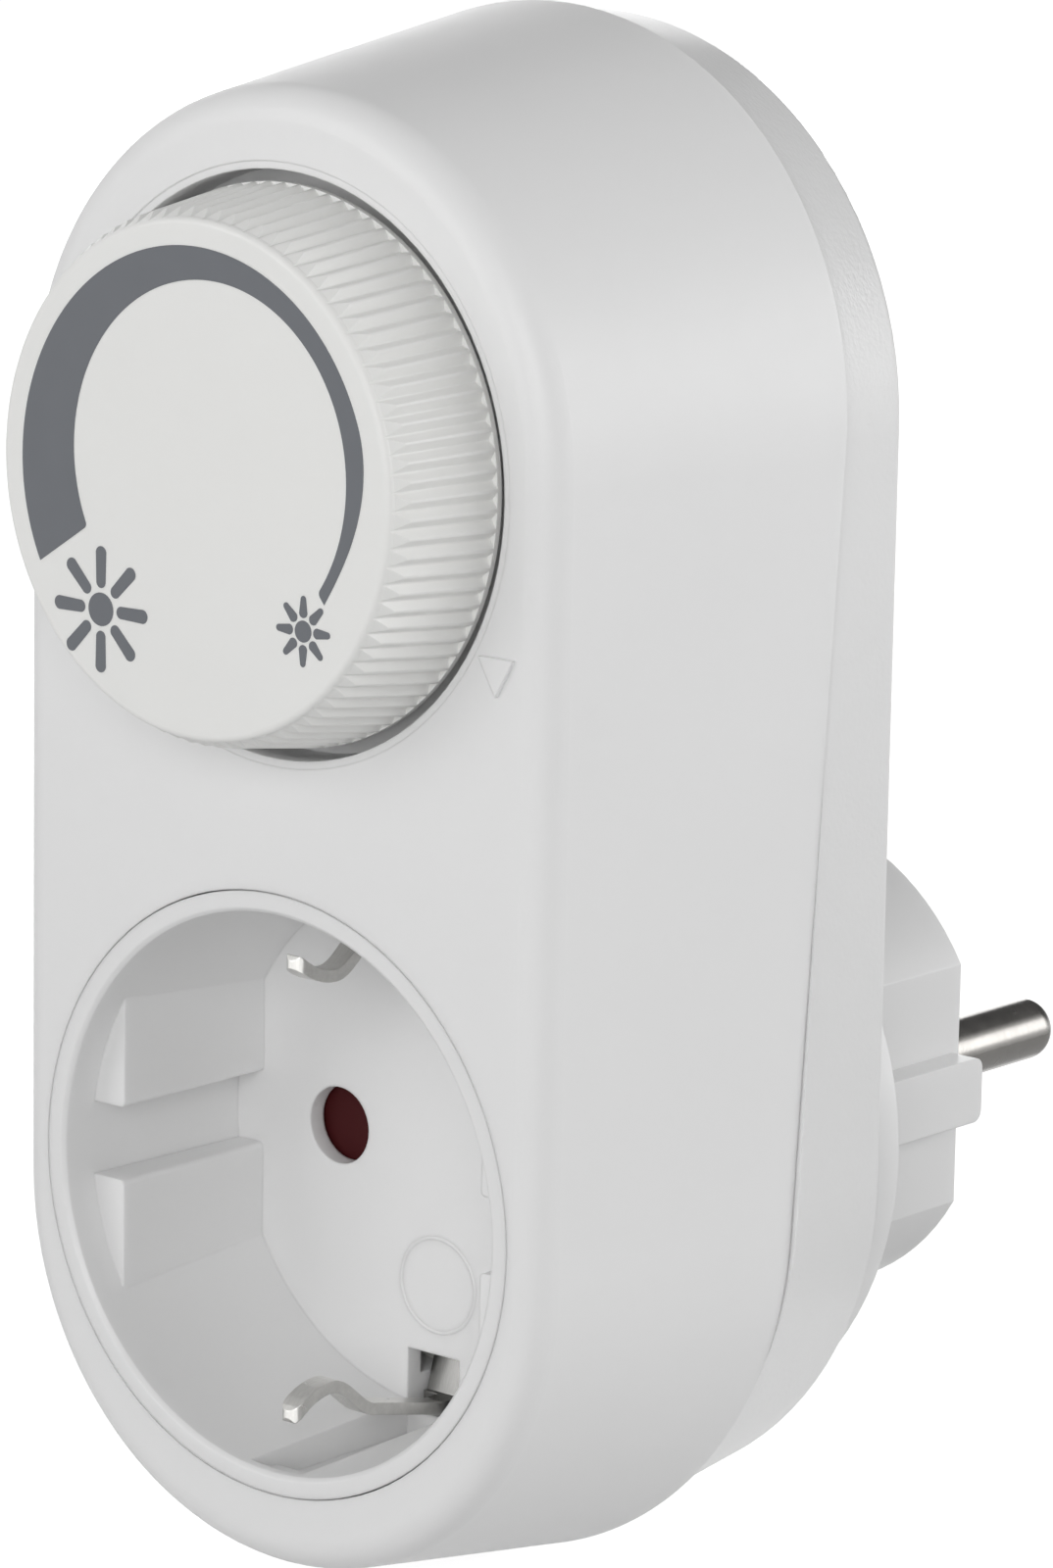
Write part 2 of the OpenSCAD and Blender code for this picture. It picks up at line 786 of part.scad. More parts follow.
module contact_carrier() {
    color([0.80, 0.80, 0.78])
        difference() {
            union() {
                rod(0, 0, carrier_r, carrier_front, carrier_back);
                rod(0, 0, spring_pocket_r + 1.2, carrier_front, pocket_back);
                for (s = [-1, 1])
                    rod(s * pin_x, 0, tube_r + tube_wall, carrier_back - bite, tube_back);
            }
            rod(0, 0, spring_pocket_r, carrier_front - 1, pocket_end);
            for (s = [-1, 1]) {
                rod(s * pin_x, 0, pin_hole_r, carrier_front - 1, carrier_back + 1);
                rod(s * pin_x, 0, tube_r, carrier_back, tube_back + 1);
            }
        }
}

// Outline of a bent strip: its centre line, moved half the thickness to either side
function mitre(p, i) =
    let (
        a = i > 0 ? unit(p[i] - p[i - 1]) : unit(p[1] - p[0]),
        b = i < len(p) - 1 ? unit(p[i + 1] - p[i]) : a,
        n = unit([-(a + b)[1], (a + b)[0]])
    )
    n / max(0.3, n * [-a[1], a[0]]);
function thick(p, t) = concat(
    [for (i = [0 : len(p) - 1]) p[i] + mitre(p, i) * t / 2],
    [for (i = [len(p) - 1 : -1 : 0]) p[i] - mitre(p, i) * t / 2]
);

// Centre line of one earth clip, as distance from the socket axis over the depth
clip_steps = 10;
tip_steps = 6;
crest_z = arm_z - clip_lift;
root_z = arm_z - tan(clip_lean) * (recess_depth - clip_root);
function clip_z(d) =
    d > clip_crest
        ? crest_z + (root_z - crest_z) * (1 - cos(180 * (d - clip_crest) / (clip_root - clip_crest))) / 2
        : crest_z + clip_fall * pow((clip_crest - d) / (clip_crest - clip_tip), 2);
function clip_line() = concat(
    [
        for (i = [0 : tip_steps - 1])
            let (d = clip_tip + (clip_crest - clip_tip) * i / tip_steps)
            [d, clip_z(d)]
    ],
    [
        for (i = [0 : clip_steps])
            let (d = clip_crest + (clip_root - clip_crest) * i / clip_steps)
            [d, clip_z(d)]
    ]
);

// One strip: upper clip, arm, bridge behind the contacts, arm, lower clip.
// A tab on each arm stands behind the floor slot.
module earth_strap() {
    upper = concat(clip_line(), [[recess_depth, arm_z], [bridge_depth, arm_z]]);
    lower = [for (i = [len(upper) - 1 : -1 : 0]) [upper[i][0], -upper[i][1]]];
    color(nickel) {
        intersection() {
            side_cut(strip_w)
                polygon(thick(concat(upper, lower), strip_t));
            strip_plan();
        }
        for (s = [0, 1])
            mirror([0, 0, s])
                side_cut(strip_w)
                    polygon(thick([[tab_foot, arm_z], [tab_top, slot_inner_z]], strip_t));
    }
}

// Plan of the strip: narrow clips with round tips, full width behind the floor
module strip_plan() {
    translate([0, front_y, -reach / 2])
        linear_extrude(reach) {
            translate([0, clip_tip + clip_w / 2])
                circle(clip_w / 2);
            translate([-clip_w / 2, clip_tip + clip_w / 2])
                square([clip_w, bridge_depth - clip_tip]);
            translate([-strip_w / 2, floor_back])
                square([strip_w, bridge_depth + strip_t - floor_back]);
        }
}

// Strips at the top and bottom of the plug, standing on the bridge of the earth strip
module plug_earth_contacts() {
    foot_z = plug_strip_z - 4;
    color(nickel)
        for (s = [0, 1])
            mirror([0, 0, s])
                side_cut(plug_strip_w)
                    polygon(thick([
                        [plug_strip_depth, foot_z],
                        [plug_strip_depth, plug_strip_z],
                        [plug_strip_end - 1.6, plug_strip_z],
                        [plug_strip_end, plug_strip_z - 1.6]
                    ], strip_t));
}

// Solid pin with a domed end and a head inside the plug
module plug_pin(s) {
    dome = 0.8 * pin_r;
    tip = plug_face_depth + pin_len;
    color(nickel)
        turned(s * pin_x, 0) {
            polygon([
                [0, plug_cavity_depth - pin_head_t],
                [pin_head_d / 2, plug_cavity_depth - pin_head_t],
                [pin_head_d / 2, plug_cavity_depth],
                [shank_r, plug_cavity_depth],
                [shank_r, plug_face_depth + pin_neck],
                [pin_r, plug_face_depth + pin_neck],
                [pin_r, tip - dome],
                [pin_r - dome, tip],
                [0, tip]
            ]);
            translate([pin_r - dome, tip - dome])
                intersection() {
                    circle(dome);
                    square(dome);
                }
        }
}

module live_pin() {
    plug_pin(1);
}

module neutral_pin() {
    plug_pin(-1);
}

// Split sleeve that grips a pin, with a tail on top
module sleeve(s, tail_end) {
    outer_r = contact_r + contact_t;
    difference() {
        union() {
            rod(s * pin_x, 0, outer_r, contact_front, contact_back);
            block(s * pin_x - 1.6, s * pin_x + 1.6, tube_back + 0.5, tail_end,
                contact_r, outer_r);
        }
        rod(s * pin_x, 0, contact_r, contact_front - 1, contact_back + 1);
        block(s * pin_x - 0.6, s * pin_x + 0.6, contact_front - 1, contact_back + 1, -outer_r - 1, 0);
    }
}

// Tag that lies on the head of a pin
module pin_tag(s) {
    head_front = plug_cavity_depth - pin_head_t;
    rod(s * pin_x, 0, pin_head_d / 2 - 0.2, head_front - contact_t, head_front);
}

module live_contact() {
    color(brass)
        sleeve(1, contact_back + 1.2);
}

module neutral_contact() {
    color(brass) {
        sleeve(-1, plug_cavity_depth - pin_head_t);
        pin_tag(-1);
    }
}

module live_terminal() {
    color(brass)
        pin_tag(1);
}

// Crest line of the ribbed side
function crest_r(d) = knob_r - tan(knob_draft) * (rib_foot - d);

module knob_profile() {
    bevel_end = knob_edge_r + rib_bevel_len - knob_h;
    edge_x = crest_r(bevel_end) - rib_bevel;
    foot_end = rib_foot + knob_foot;
    polygon([
        [0, -knob_h],
        [edge_x - knob_edge_r, -knob_h],
        [edge_x, knob_edge_r - knob_h],
        [crest_r(bevel_end), bevel_end],
        [knob_r, rib_foot],
        [knob_r, foot_end],
        [knob_r - knob_wall, foot_end],
        [knob_r - knob_wall, rib_foot],
        [edge_x - knob_wall, knob_wall - knob_h],
        [0, knob_wall - knob_h]
    ]);
    translate([edge_x - knob_edge_r, knob_edge_r - knob_h])
        circle(knob_edge_r);
}

// One groove between two ribs, from their foot out through the knob's front edge.
// Its flanks open in two slopes, which leaves a narrow crest on each rib.
module rib_groove() {
    half_pitch = PI * crest_r(-knob_h) / rib_count;
    valley_w = 0.1 * half_pitch;
    shoulder_w = 0.6 * half_pitch;
    crest_w = 0.92 * half_pitch;
    shoulder_h = 0.65 * rib_depth;
    top_h = 3 * rib_depth;
    translate([knob_r - rib_depth, 0, -rib_foot])
        rotate([0, -knob_draft, 0])
            linear_extrude(knob_h + 2 * rib_foot + 1)
                polygon([
                    [0, -valley_w],
                    [shoulder_h, -shoulder_w],
                    [rib_depth, -crest_w],
                    [top_h, -crest_w],
                    [top_h, crest_w],
                    [rib_depth, crest_w],
                    [shoulder_h, shoulder_w],
                    [0, valley_w]
                ]);
}

// Section of the shaft: a disc with one flat
module shaft_section(r) {
    difference() {
        circle(r);
        translate([-2 * r, r / 2])
            square(4 * r);
    }
}

module knob() {
    boss_r = shaft_r + 2.4;
    boss_end = well_depth - knob_lift;
    color([0.88, 0.88, 0.87])
        difference() {
            union() {
                turned(0, knob_z)
                    knob_profile();
                rod(0, knob_z, boss_r, bite - knob_h, boss_end);
            }
            translate([0, front_y, knob_z])
                rotate([90, 0, 0])
                    for (i = [0 : rib_count - 1])
                        rotate(360 * i / rib_count)
                            rib_groove();
            slab(shaft_tip - 0.5, boss_end + 1)
                translate([0, knob_z])
                    shaft_section(shaft_r + shaft_seat);
        }
}

// Shaft with a flat in the knob and the wiper disc in the case
module potentiometer_shaft() {
    wiper_front = pot_front + pot_wall + 0.4;
    color([0.86, 0.86, 0.80]) {
        slab(shaft_tip, well_depth)
            translate([0, knob_z])
                shaft_section(shaft_r);
        rod(0, knob_z, shaft_r, well_depth, wiper_front);
        rod(0, knob_z, wiper_r, wiper_front, wiper_front + wiper_t);
    }
}

module potentiometer_case() {
    color([0.20, 0.22, 0.26])
        difference() {
            union() {
                rod(0, knob_z, pot_r, pot_front, board_front);
                rod(0, knob_z, bushing_r, well_back, pot_front + bite);
            }
            rod(0, knob_z, shaft_r + shaft_clear, well_back - 1, board_front - pot_wall);
            rod(0, knob_z, pot_r - pot_wall, pot_front + pot_wall, board_front - pot_wall);
        }
}

module circuit_board() {
    color([0.36, 0.30, 0.14])
        difference() {
            slab(board_front, board_back) {
                translate([0, upper_z])
                    intersection() {
                        circle(board_half_w);
                        translate([-board_half_w, 0])
                            square(2 * board_half_w);
                    }
                translate([-board_half_w, board_low_z])
                    square([2 * board_half_w, upper_z - board_low_z]);
            }
            for (s = [-1, 1])
                rod(s * board_screw_x, knob_z, board_screw_r + 0.3, board_front - 1, board_back + 1);
        }
}

// Components behind the board: sizes, then places on the board
part_gap = 1;
sink_w = 28;
sink_h = 13;
sink_t = 1.5;
triac_w = 10;
triac_l = 9;
triac_h = 4.4;
tab_l = 6;
tab_t = 1.3;
choke_r = 8.2;
choke_hole_r = 3.6;
choke_wire_r = 0.55;
choke_play = 0.2;
choke_x = -board_half_w + choke_r + 3.5;
choke_z = board_low_z + choke_r + 2 * part_gap;
choke_mid = board_back + component_h / 2;
core_half_h = component_h / 2 - 2 * choke_wire_r - 2 * choke_play;
cap_w = 12;
cap_l = 6.5;
cap_low_z = board_low_z + 2 * part_gap;
timing_w = 7.2;
timing_l = 2.5;
timing_h = 6.5;
fuse_r = 2.5;
fuse_len = 20;
fuse_x = fuse_len / 2 + 1.5 * part_gap;
fuse_z = cap_low_z + cap_l + 2 * fuse_r;
fuse_mid = board_back + fuse_r + 1.2;
fuse_clip_w = 4;
fuse_clip_t = 0.5;
fuse_clip_play = 0.1;
diac_r = 0.9;
diac_len = 4;
resistor_r = 1.15;
resistor_len = 6.5;
resistor_pitch = 2 * resistor_r + 0.3;
// Stacked upwards from the fuse
timing_z = fuse_z + fuse_r + fuse_clip_play + fuse_clip_t + part_gap;
resistor_z = timing_z + timing_l + part_gap + resistor_r;
sink_z = resistor_z + 2 * resistor_pitch + resistor_r + part_gap;

module heat_sink() {
    fin_end = board_back + component_h - 1;
    color([0.74, 0.75, 0.76])
        difference() {
            union() {
                block(-sink_w / 2, sink_w / 2, board_back, board_back + sink_t, sink_z, sink_z + sink_h);
                for (s = [-1, 1])
                    translate([s * (sink_w - sink_t) / 2, 0, 0])
                        block(-sink_t / 2, sink_t / 2, board_back, fin_end, sink_z, sink_z + sink_h);
            }
            rod(0, sink_z + sink_h - tab_l / 2, board_screw_r + 0.1,
                board_back - 1, board_back + sink_t + 1);
        }
}

module triac() {
    seat = board_back + sink_t;
    tab_z = sink_z + sink_h - tab_l;
    color([0.12, 0.12, 0.13])
        difference() {
            union() {
                block(-triac_w / 2, triac_w / 2, seat, seat + triac_h, tab_z - triac_l, tab_z);
                block(-triac_w / 2, triac_w / 2, seat, seat + tab_t, tab_z - bite, tab_z + tab_l);
            }
            rod(0, tab_z + tab_l / 2, board_screw_r + 0.3, seat - 1, seat + tab_t + 1);
        }
}

module triac_screw() {
    seat = board_back + sink_t + tab_t;
    color(nickel)
        turned(0, sink_z + sink_h - tab_l / 2)
            polygon([
                [0, board_back],
                [board_screw_r, board_back],
                [board_screw_r, seat],
                [2 * board_screw_r, seat],
                [2 * board_screw_r, seat + small_head_h],
                [0, seat + small_head_h]
            ]);
}

module choke_core() {
    color([0.24, 0.25, 0.24])
        turned(choke_x, choke_z)
            translate([choke_hole_r + 2 * (choke_wire_r + choke_play), choke_mid - core_half_h])
                square([choke_r - choke_hole_r - 4 * (choke_wire_r + choke_play), 2 * core_half_h]);
}

// Winding round the ring core: turns of wire with a free gap between start and end
module choke_winding() {
    turns = 14;
    sweep = 320;
    steps = 12 * turns;
    mid_r = (choke_r + choke_hole_r) / 2;
    half_w = (choke_r - choke_hole_r) / 2 - choke_wire_r;
    half_h = core_half_h + choke_play + choke_wire_r;
    function section(b) = [
        half_w * sign(cos(b)) * pow(abs(cos(b)), 0.35),
        half_h * sign(sin(b)) * pow(abs(sin(b)), 0.35)
    ];
    function wind(i, k) =
        let (
            a = sweep * i / steps,
            q = section(360 * turns * i / steps) * k
        )
        [
            choke_x + (mid_r + q[0]) * cos(a),
            front_y + choke_mid + q[1],
            choke_z + (mid_r + q[0]) * sin(a)
        ];
    path = [for (i = [0 : steps]) wind(i, 1)];
    refs = [for (i = [0 : steps]) wind(i, 1) - wind(i, 0)];
    color(copper)
        tube(path, refs, choke_wire_r, 6);
}

module suppression_capacitor() {
    color([0.78, 0.68, 0.20])
        block(part_gap, part_gap + cap_w, board_back, board_back + component_h,
            cap_low_z, cap_low_z + cap_l);
}

module timing_capacitor() {
    color([0.55, 0.20, 0.14])
        block(-timing_w / 2, timing_w / 2, board_back, board_back + timing_h,
            timing_z, timing_z + timing_l);
}

// A small round component that lies on the board along X
module axial_part(x, z, r, len) {
    translate([x, front_y + board_back + r, z])
        rotate([0, 90, 0])
            cylinder(h = len, r = r);
}

module diac() {
    color([0.60, 0.30, 0.22])
        axial_part(timing_w, timing_z + timing_l / 2, diac_r, diac_len);
}

module resistors() {
    color([0.72, 0.62, 0.46])
        for (i = [0 : 2])
            axial_part(timing_w, resistor_z + resistor_pitch * i, resistor_r, resistor_len);
}

module fuse() {
    color([0.80, 0.82, 0.82])
        translate([fuse_x - fuse_len / 2, front_y + fuse_mid, fuse_z])
            rotate([0, 90, 0])
                cylinder(h = fuse_len, r = fuse_r);
}

// Spring clips that hold the ends of the fuse over the board
module fuse_clips() {
    outer_r = fuse_r + fuse_clip_play + fuse_clip_t;
    color(brass)
        for (s = [-1, 1])
            translate([fuse_x + s * (fuse_len - fuse_clip_w) / 2 - fuse_clip_w / 2, front_y, fuse_z])
                difference() {
                    union() {
                        translate([0, fuse_mid, 0])
                            rotate([0, 90, 0])
                                cylinder(h = fuse_clip_w, r = outer_r);
                        translate([0, board_back, -fuse_clip_w / 2])
                            cube([fuse_clip_w, fuse_mid - board_back, fuse_clip_w]);
                    }
                    translate([-1, fuse_mid, 0])
                        rotate([0, 90, 0])
                            cylinder(h = fuse_clip_w + 2, r = fuse_r + fuse_clip_play);
                    translate([-1, fuse_mid + fuse_r / 3, -outer_r - 1])
                        cube([fuse_clip_w + 2, 2 * outer_r, 2 * outer_r + 2]);
                }
}

// Insulated wire along a route of hand-placed points (X, depth, Z), rounded at its bends
wire_r = 1;
wire_gap = 0.1;
function round_route(p) = [
    for (i = [0 : len(p) - 1])
        each (i == 0 || i == len(p) - 1)
            ? [p[i]]
            : [p[i] + 0.3 * (p[i - 1] - p[i]), p[i] + 0.1 * (p[i - 1] + p[i + 1] - 2 * p[i]),
               p[i] + 0.3 * (p[i + 1] - p[i])]
];

module wire(route) {
    path = [for (q = round_route(route)) [q[0], front_y + q[1], q[2]]];
    tube(path, [for (q = path) [1, 0.13, 0.07]], wire_r, 8);
}

module live_wire() {
    tag_front = plug_cavity_depth - pin_head_t - contact_t;
    lane_x = board_half_w - 6;
    color([0.42, 0.24, 0.14])
        wire([
            [pin_x, tag_front - wire_gap, 0],
            [pin_x, tag_front - 1.6, 0],
            [pin_x + 2.7, tag_front - 2.4, 4.5],
            [pin_x + 2.1, tag_front - 6, 6.6],
            [pin_x + 2.6, rear_inner - 3, 9.8],
            [pin_x + 3.6, rear_inner - 3.6, screw_z() - 5],
            [pin_x + 5.2, rear_inner - 3.6, screw_z() + 2.6],
            [lane_x - 1, rear_inner - 3.6, board_low_z + 1],
            [lane_x, rear_inner - 4, board_low_z + 6],
            [lane_x, board_back + 2.5, board_low_z + 8],
            [lane_x, board_back + wire_gap, board_low_z + 8]
        ]);
}

module load_wire() {
    lane_x = -1.4;
    tail_top = contact_r + contact_t;
    color([0.20, 0.24, 0.40])
        wire([
            [pin_x, contact_back + 0.8, tail_top + wire_r + wire_gap],
            [pin_x, contact_back - 1.2, tail_top + wire_r + wire_gap],
            [pin_x - 1.2, contact_back - 3.5, tail_top + 3.2],
            [pin_x - 3, rear_inner - 2.6, 13],
            [pin_x - 3.6, rear_inner - 3.2, 20],
            [lane_x + 3, rear_inner - 3.6, board_low_z - 2],
            [lane_x, rear_inner - 4, board_low_z + 4],
            [lane_x, board_back + 2.5, board_low_z + 7],
            [lane_x, board_back + wire_gap, board_low_z + 7]
        ]);
}

module screw(x, z, r, head_r, head_h, seat, tip) {
    turned(x, z)
        polygon([
            [0, tip],
            [r, tip + r],
            [r, seat],
            [head_r, seat],
            [head_r, seat + head_h],
            [0, seat + head_h]
        ]);
}

module board_screws() {
    color(nickel)
        for (s = [-1, 1])
            screw(s * board_screw_x, knob_z, board_screw_r, 2 * board_screw_r, small_head_h,
                board_back, board_back - board_screw_len);
}

module housing_screws() {
    color(nickel)
        for (s = [-1, 1])
            screw(s * screw_x, screw_z(), screw_r, screw_head_r, screw_head_h, head_seat, screw_tip);
}

front_shell();
rear_shell();
socket_insert();
contact_carrier();
shutter();
shutter_spring();
earth_strap();
plug_earth_contacts();
live_pin();
neutral_pin();
live_contact();
neutral_contact();
live_terminal();
knob();
potentiometer_case();
potentiometer_shaft();
circuit_board();
triac();
heat_sink();
triac_screw();
choke_core();
choke_winding();
suppression_capacitor();
timing_capacitor();
diac();
resistors();
fuse();
fuse_clips();
live_wire();
load_wire();
board_screws();
housing_screws();
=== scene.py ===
"""Looks of a plug-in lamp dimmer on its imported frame. Metres: X right, Y towards the wall, Z up."""
import math

import bmesh
import bpy
from mathutils import Color, Matrix, Vector


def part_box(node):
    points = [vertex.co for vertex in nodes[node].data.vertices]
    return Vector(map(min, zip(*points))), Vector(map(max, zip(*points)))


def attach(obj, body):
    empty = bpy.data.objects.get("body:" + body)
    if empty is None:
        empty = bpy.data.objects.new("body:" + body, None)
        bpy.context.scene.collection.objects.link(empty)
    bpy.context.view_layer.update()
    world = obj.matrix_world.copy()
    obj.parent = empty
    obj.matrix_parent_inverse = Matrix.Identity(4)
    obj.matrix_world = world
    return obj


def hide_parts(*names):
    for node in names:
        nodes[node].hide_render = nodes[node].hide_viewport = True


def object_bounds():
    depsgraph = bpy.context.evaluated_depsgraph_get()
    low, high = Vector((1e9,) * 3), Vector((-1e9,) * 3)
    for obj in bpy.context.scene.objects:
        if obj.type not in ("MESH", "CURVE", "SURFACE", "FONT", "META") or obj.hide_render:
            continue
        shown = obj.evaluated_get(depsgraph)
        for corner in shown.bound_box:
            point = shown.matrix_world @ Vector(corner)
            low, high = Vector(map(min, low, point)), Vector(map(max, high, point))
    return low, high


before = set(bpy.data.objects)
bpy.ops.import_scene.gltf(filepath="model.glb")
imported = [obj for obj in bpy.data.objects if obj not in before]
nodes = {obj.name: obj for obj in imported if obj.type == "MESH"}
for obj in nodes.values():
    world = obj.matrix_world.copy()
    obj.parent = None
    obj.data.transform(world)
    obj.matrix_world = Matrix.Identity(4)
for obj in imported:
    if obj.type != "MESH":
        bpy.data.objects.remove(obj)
cad_low, cad_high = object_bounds()
scene = bpy.context.scene
scene.view_settings.view_transform = "Standard"
MM = 0.001
MERGE = 0.001 * MM
TO_FRONT = math.pi / 2
TO_WALL = -math.pi / 2


def paint(red, green, blue):
    """A colour written as it shows on screen, 0 to 255, in the renderer's linear values."""
    shown = Color((red / 255, green / 255, blue / 255))
    return (*shown.from_srgb_to_scene_linear(), 1)


# Places along Y, in millimetres: the socket's floor, and the rear shell's back, where its smooth collar
# and plug start
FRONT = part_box("socket_insert")[0].y / MM
SOCKET_DEPTH = 17.8
REAR_DEPTH = 35.4
SOCKET_FLOOR = FRONT + SOCKET_DEPTH
REAR_BACK = FRONT + REAR_DEPTH

# Print on the knob's face, in millimetres from the knob's axis and degrees round it
INK_LAYER = 0.03
INK_PAINT = paint(100, 103, 108)
INK_ROUGH = 0.55
INK_GRAIN = 0.16
INK_GRAIN_DEPTH = 0.003
CRESCENT_R = 16.1
CRESCENT_OUTER_ENDS = (206.9, -29.5)
CRESCENT_INNER_ENDS = (203.7, -28.0)
CRESCENT_STEPS = 118
CRESCENT_CORNER = 0.3
CRESCENT_CORNER_STEPS = 4
CRESCENT_HOLE_CENTRE = (1.5, 1.25)
CRESCENT_HOLE_R = 12.65
# The crescent's outer edge is drawn in from one angle, over a stretch, by an amount
TAPER_START = 20.0
TAPER_LENGTH = 52.0
TAPER_FALL = 2.0
BIG_SUN = dict(centre=(-8.5, -10.0), core=1.18, ray_start=1.5, ray_end=4.45, near_w=0.88, far_w=1.0)
SMALL_SUN = dict(centre=(10.4, -9.0), core=0.75, ray_start=0.92, ray_end=2.45, near_w=0.76, far_w=0.48)
SUN_RAYS = 8
SUN_CORE_SIDES = 32
SUN_RAY_SIDES = 16

# Bare ring raised from the socket's floor, in millimetres: its centre in X and Z, and its section
RING_CENTRE = (0.3, -10.3)
RING_R = 3.55
RING_HALF = 0.25
RING_TOP_HALF = 0.05
RING_RISE = 0.06
RING_STEPS = 64

# Screws inside and behind, in millimetres: radius of the shank, radius and height of the head
SCREWS = {
    "housing_screws": dict(shank=1.5, head=2.8, head_h=2.0),
    "board_screws": dict(shank=1.2, head=2.4, head_h=1.6),
    "triac_screw": dict(shank=1.2, head=2.4, head_h=1.6),
}
SCREW_SIDES = 24
# Thread, in shares of the shank's radius
THREAD_ROOT = 0.8
THREAD_PITCH = 0.7
# Round edge of the head and its flared cross recess, in shares of the head's radius
HEAD_BRIM = 0.2
HEAD_STEPS = 3
CROSS_ARM = 0.56
CROSS_HALF = 0.13
CROSS_DEPTH = 0.5
CROSS_FLARE = 1.15

WIRES = ("choke_winding", "shutter_spring", "live_wire", "load_wire")
WIRE_ROUNDING = 1

# Camera at the photograph's place
CAMERA_TARGET = Vector((1.89, -34.5, 26.31)) * MM
CAMERA_DISTANCE = 480.19 * MM
CAMERA_AZIMUTH = 40.248
CAMERA_ELEVATION = 12.056
CAMERA_ROLL = 0.976
CAMERA_LENS = 152.05
CAMERA_SENSOR = 36.0

# Soft studio lamps round the object, with the azimuth counted from the front to the right
LAMP_DISTANCE = 1.0
SOFTBOXES = {
    "front_right": dict(azimuth=30, elevation=15, size=0.5, power=3.6),
    "front_left": dict(azimuth=-30, elevation=15, size=0.5, power=2.1),
    "rear_right": dict(azimuth=120, elevation=15, size=0.5, power=2.15),
    "back_right": dict(azimuth=142, elevation=10, size=0.4, power=1.5),
    "back_left": dict(azimuth=225, elevation=10, size=0.5, power=1.9),
}
WHITE = (1, 1, 1, 1)
AMBIENT = 0.29
FLOOR_SIZE = 6.0
FLOOR_PAINT = paint(208, 208, 208)
FLOOR_GLOW = 0.85

# Cards that only mirror rays see: a dark flag behind the object and a grey card on the floor by the plug
# give the bare metal its bands
FLAG_AZIMUTH = 196
FLAG_ELEVATION = 27
FLAG_DISTANCE = 1.5
FLAG_SIZE = (2.2, 1.3)
FLAG_GLOW = 0.12
CARD_MIDDLE = (0.11, 0.12)
CARD_SIZE = (0.22, 0.22)
CARD_GLOW = 0.6

# Slow changes of tone and roughness over a surface: the size of their patches, in millimetres, and how much
PLASTIC_DRIFT = dict(tone_size=14, tone_amount=0.03, rough_size=3, rough_spread=0.12)
METAL_DRIFT = dict(tone_size=6, tone_amount=0.10, rough_size=1.5, rough_spread=0.15)
INK_DRIFT = dict(tone_size=2, tone_amount=0.10, rough_size=1, rough_spread=0.15)
# Rays that round off an edge in its shading
EDGE_SAMPLES = 6
# Way over which a finish that ends at a place fades out, in millimetres
FADE = 0.5
# Middle of a noise that runs from 0 to 1
NOISE_MIDDLE = 0.5
# Share of the brightness that is left where the plating's colour is darkened as painted shade, behind the
# socket's floor
PAINTED_SHADE_SHARE = 0.4
# Share of the light that spreads inside white plastic, and how far it does in the housing and in the
# denser knob, in millimetres
SPREAD_SHARE = 0.6
WHITE_REACH = 0.8
KNOB_REACH = 0.2


# Node trees
def feed(tree, node, inputs):
    """Gives each input of a node a value, or links another node's output socket to it."""
    for name, value in inputs.items():
        if isinstance(value, bpy.types.NodeSocket):
            tree.links.new(value, node.inputs[name])
        else:
            node.inputs[name].default_value = value


def put(tree, kind, inputs, **settings):
    """Adds a shader node with its inputs and settings."""
    node = tree.nodes.new("ShaderNode" + kind)
    for name, value in settings.items():
        setattr(node, name, value)
    feed(tree, node, inputs)
    return node


def calc(tree, operation, *values):
    """A number worked out from values or output sockets."""
    return put(tree, "Math", dict(enumerate(values)), operation=operation).outputs[0]


def scaled(tree, vector, factor):
    """A vector or colour times a number."""
    return put(tree, "VectorMath", {0: vector, "Scale": factor}, operation="SCALE").outputs[0]


def noise(tree, where, **inputs):
    """Cloudy noise with patches about one unit of its coordinates across."""
    return put(tree, "TexNoise", {"Vector": where, "Scale": 1.0, **inputs}).outputs["Fac"]


def object_place(tree):
    """Object coordinates, which move with the piece."""
    return put(tree, "TexCoord", {}).outputs["Object"]


def along(tree, axis):
    """Object coordinate along one axis."""
    return put(tree, "SeparateXYZ", {0: object_place(tree)}).outputs[axis]


def sized(tree, size):
    """Object coordinates measured in a pattern's own size."""
    return scaled(tree, object_place(tree), calc(tree, "DIVIDE", 1.0, size))


def new_group(name, inputs, outputs):
    """A shader node group with named sockets. Returns its tree, its inputs and its output node."""
    tree = bpy.data.node_groups.new(name, "ShaderNodeTree")
    for title, kind in inputs.items():
        tree.interface.new_socket(title, in_out="INPUT", socket_type="NodeSocket" + kind)
    for title, kind in outputs.items():
        tree.interface.new_socket(title, in_out="OUTPUT", socket_type="NodeSocket" + kind)
    return tree, tree.nodes.new("NodeGroupInput").outputs, tree.nodes.new("NodeGroupOutput")


def place(tree, group, **inputs):
    """Puts a node group into a material. Returns its outputs."""
    node = tree.nodes.new("ShaderNodeGroup")
    node.node_tree = group
    feed(tree, node, inputs)
    return node.outputs


def make_mould_grain():
    """Fine eroded grain of a moulding tool: pits of one size with finer ones between."""
    tree, given, out = new_group("mould_grain", {"Size": "Float"}, {"Height": "Float"})
    pits = noise(tree, sized(tree, given["Size"]), Detail=1.0, Roughness=0.6)
    feed(tree, out, {"Height": pits})
    return tree


def make_tone_drift():
    """Slow drift of a colour over the surface, as in any moulding or plating."""
    inputs = {"Color": "Color", "Size": "Float", "Amount": "Float"}
    tree, given, out = new_group("tone_drift", inputs, {"Color": "Color"})
    cloud = noise(tree, sized(tree, given["Size"]), Detail=3.0)
    swing = calc(tree, "SUBTRACT", cloud, NOISE_MIDDLE)
    share = calc(tree, "MULTIPLY_ADD", swing, given["Amount"], 1.0)
    feed(tree, out, {"Color": scaled(tree, given["Color"], share)})
    return tree


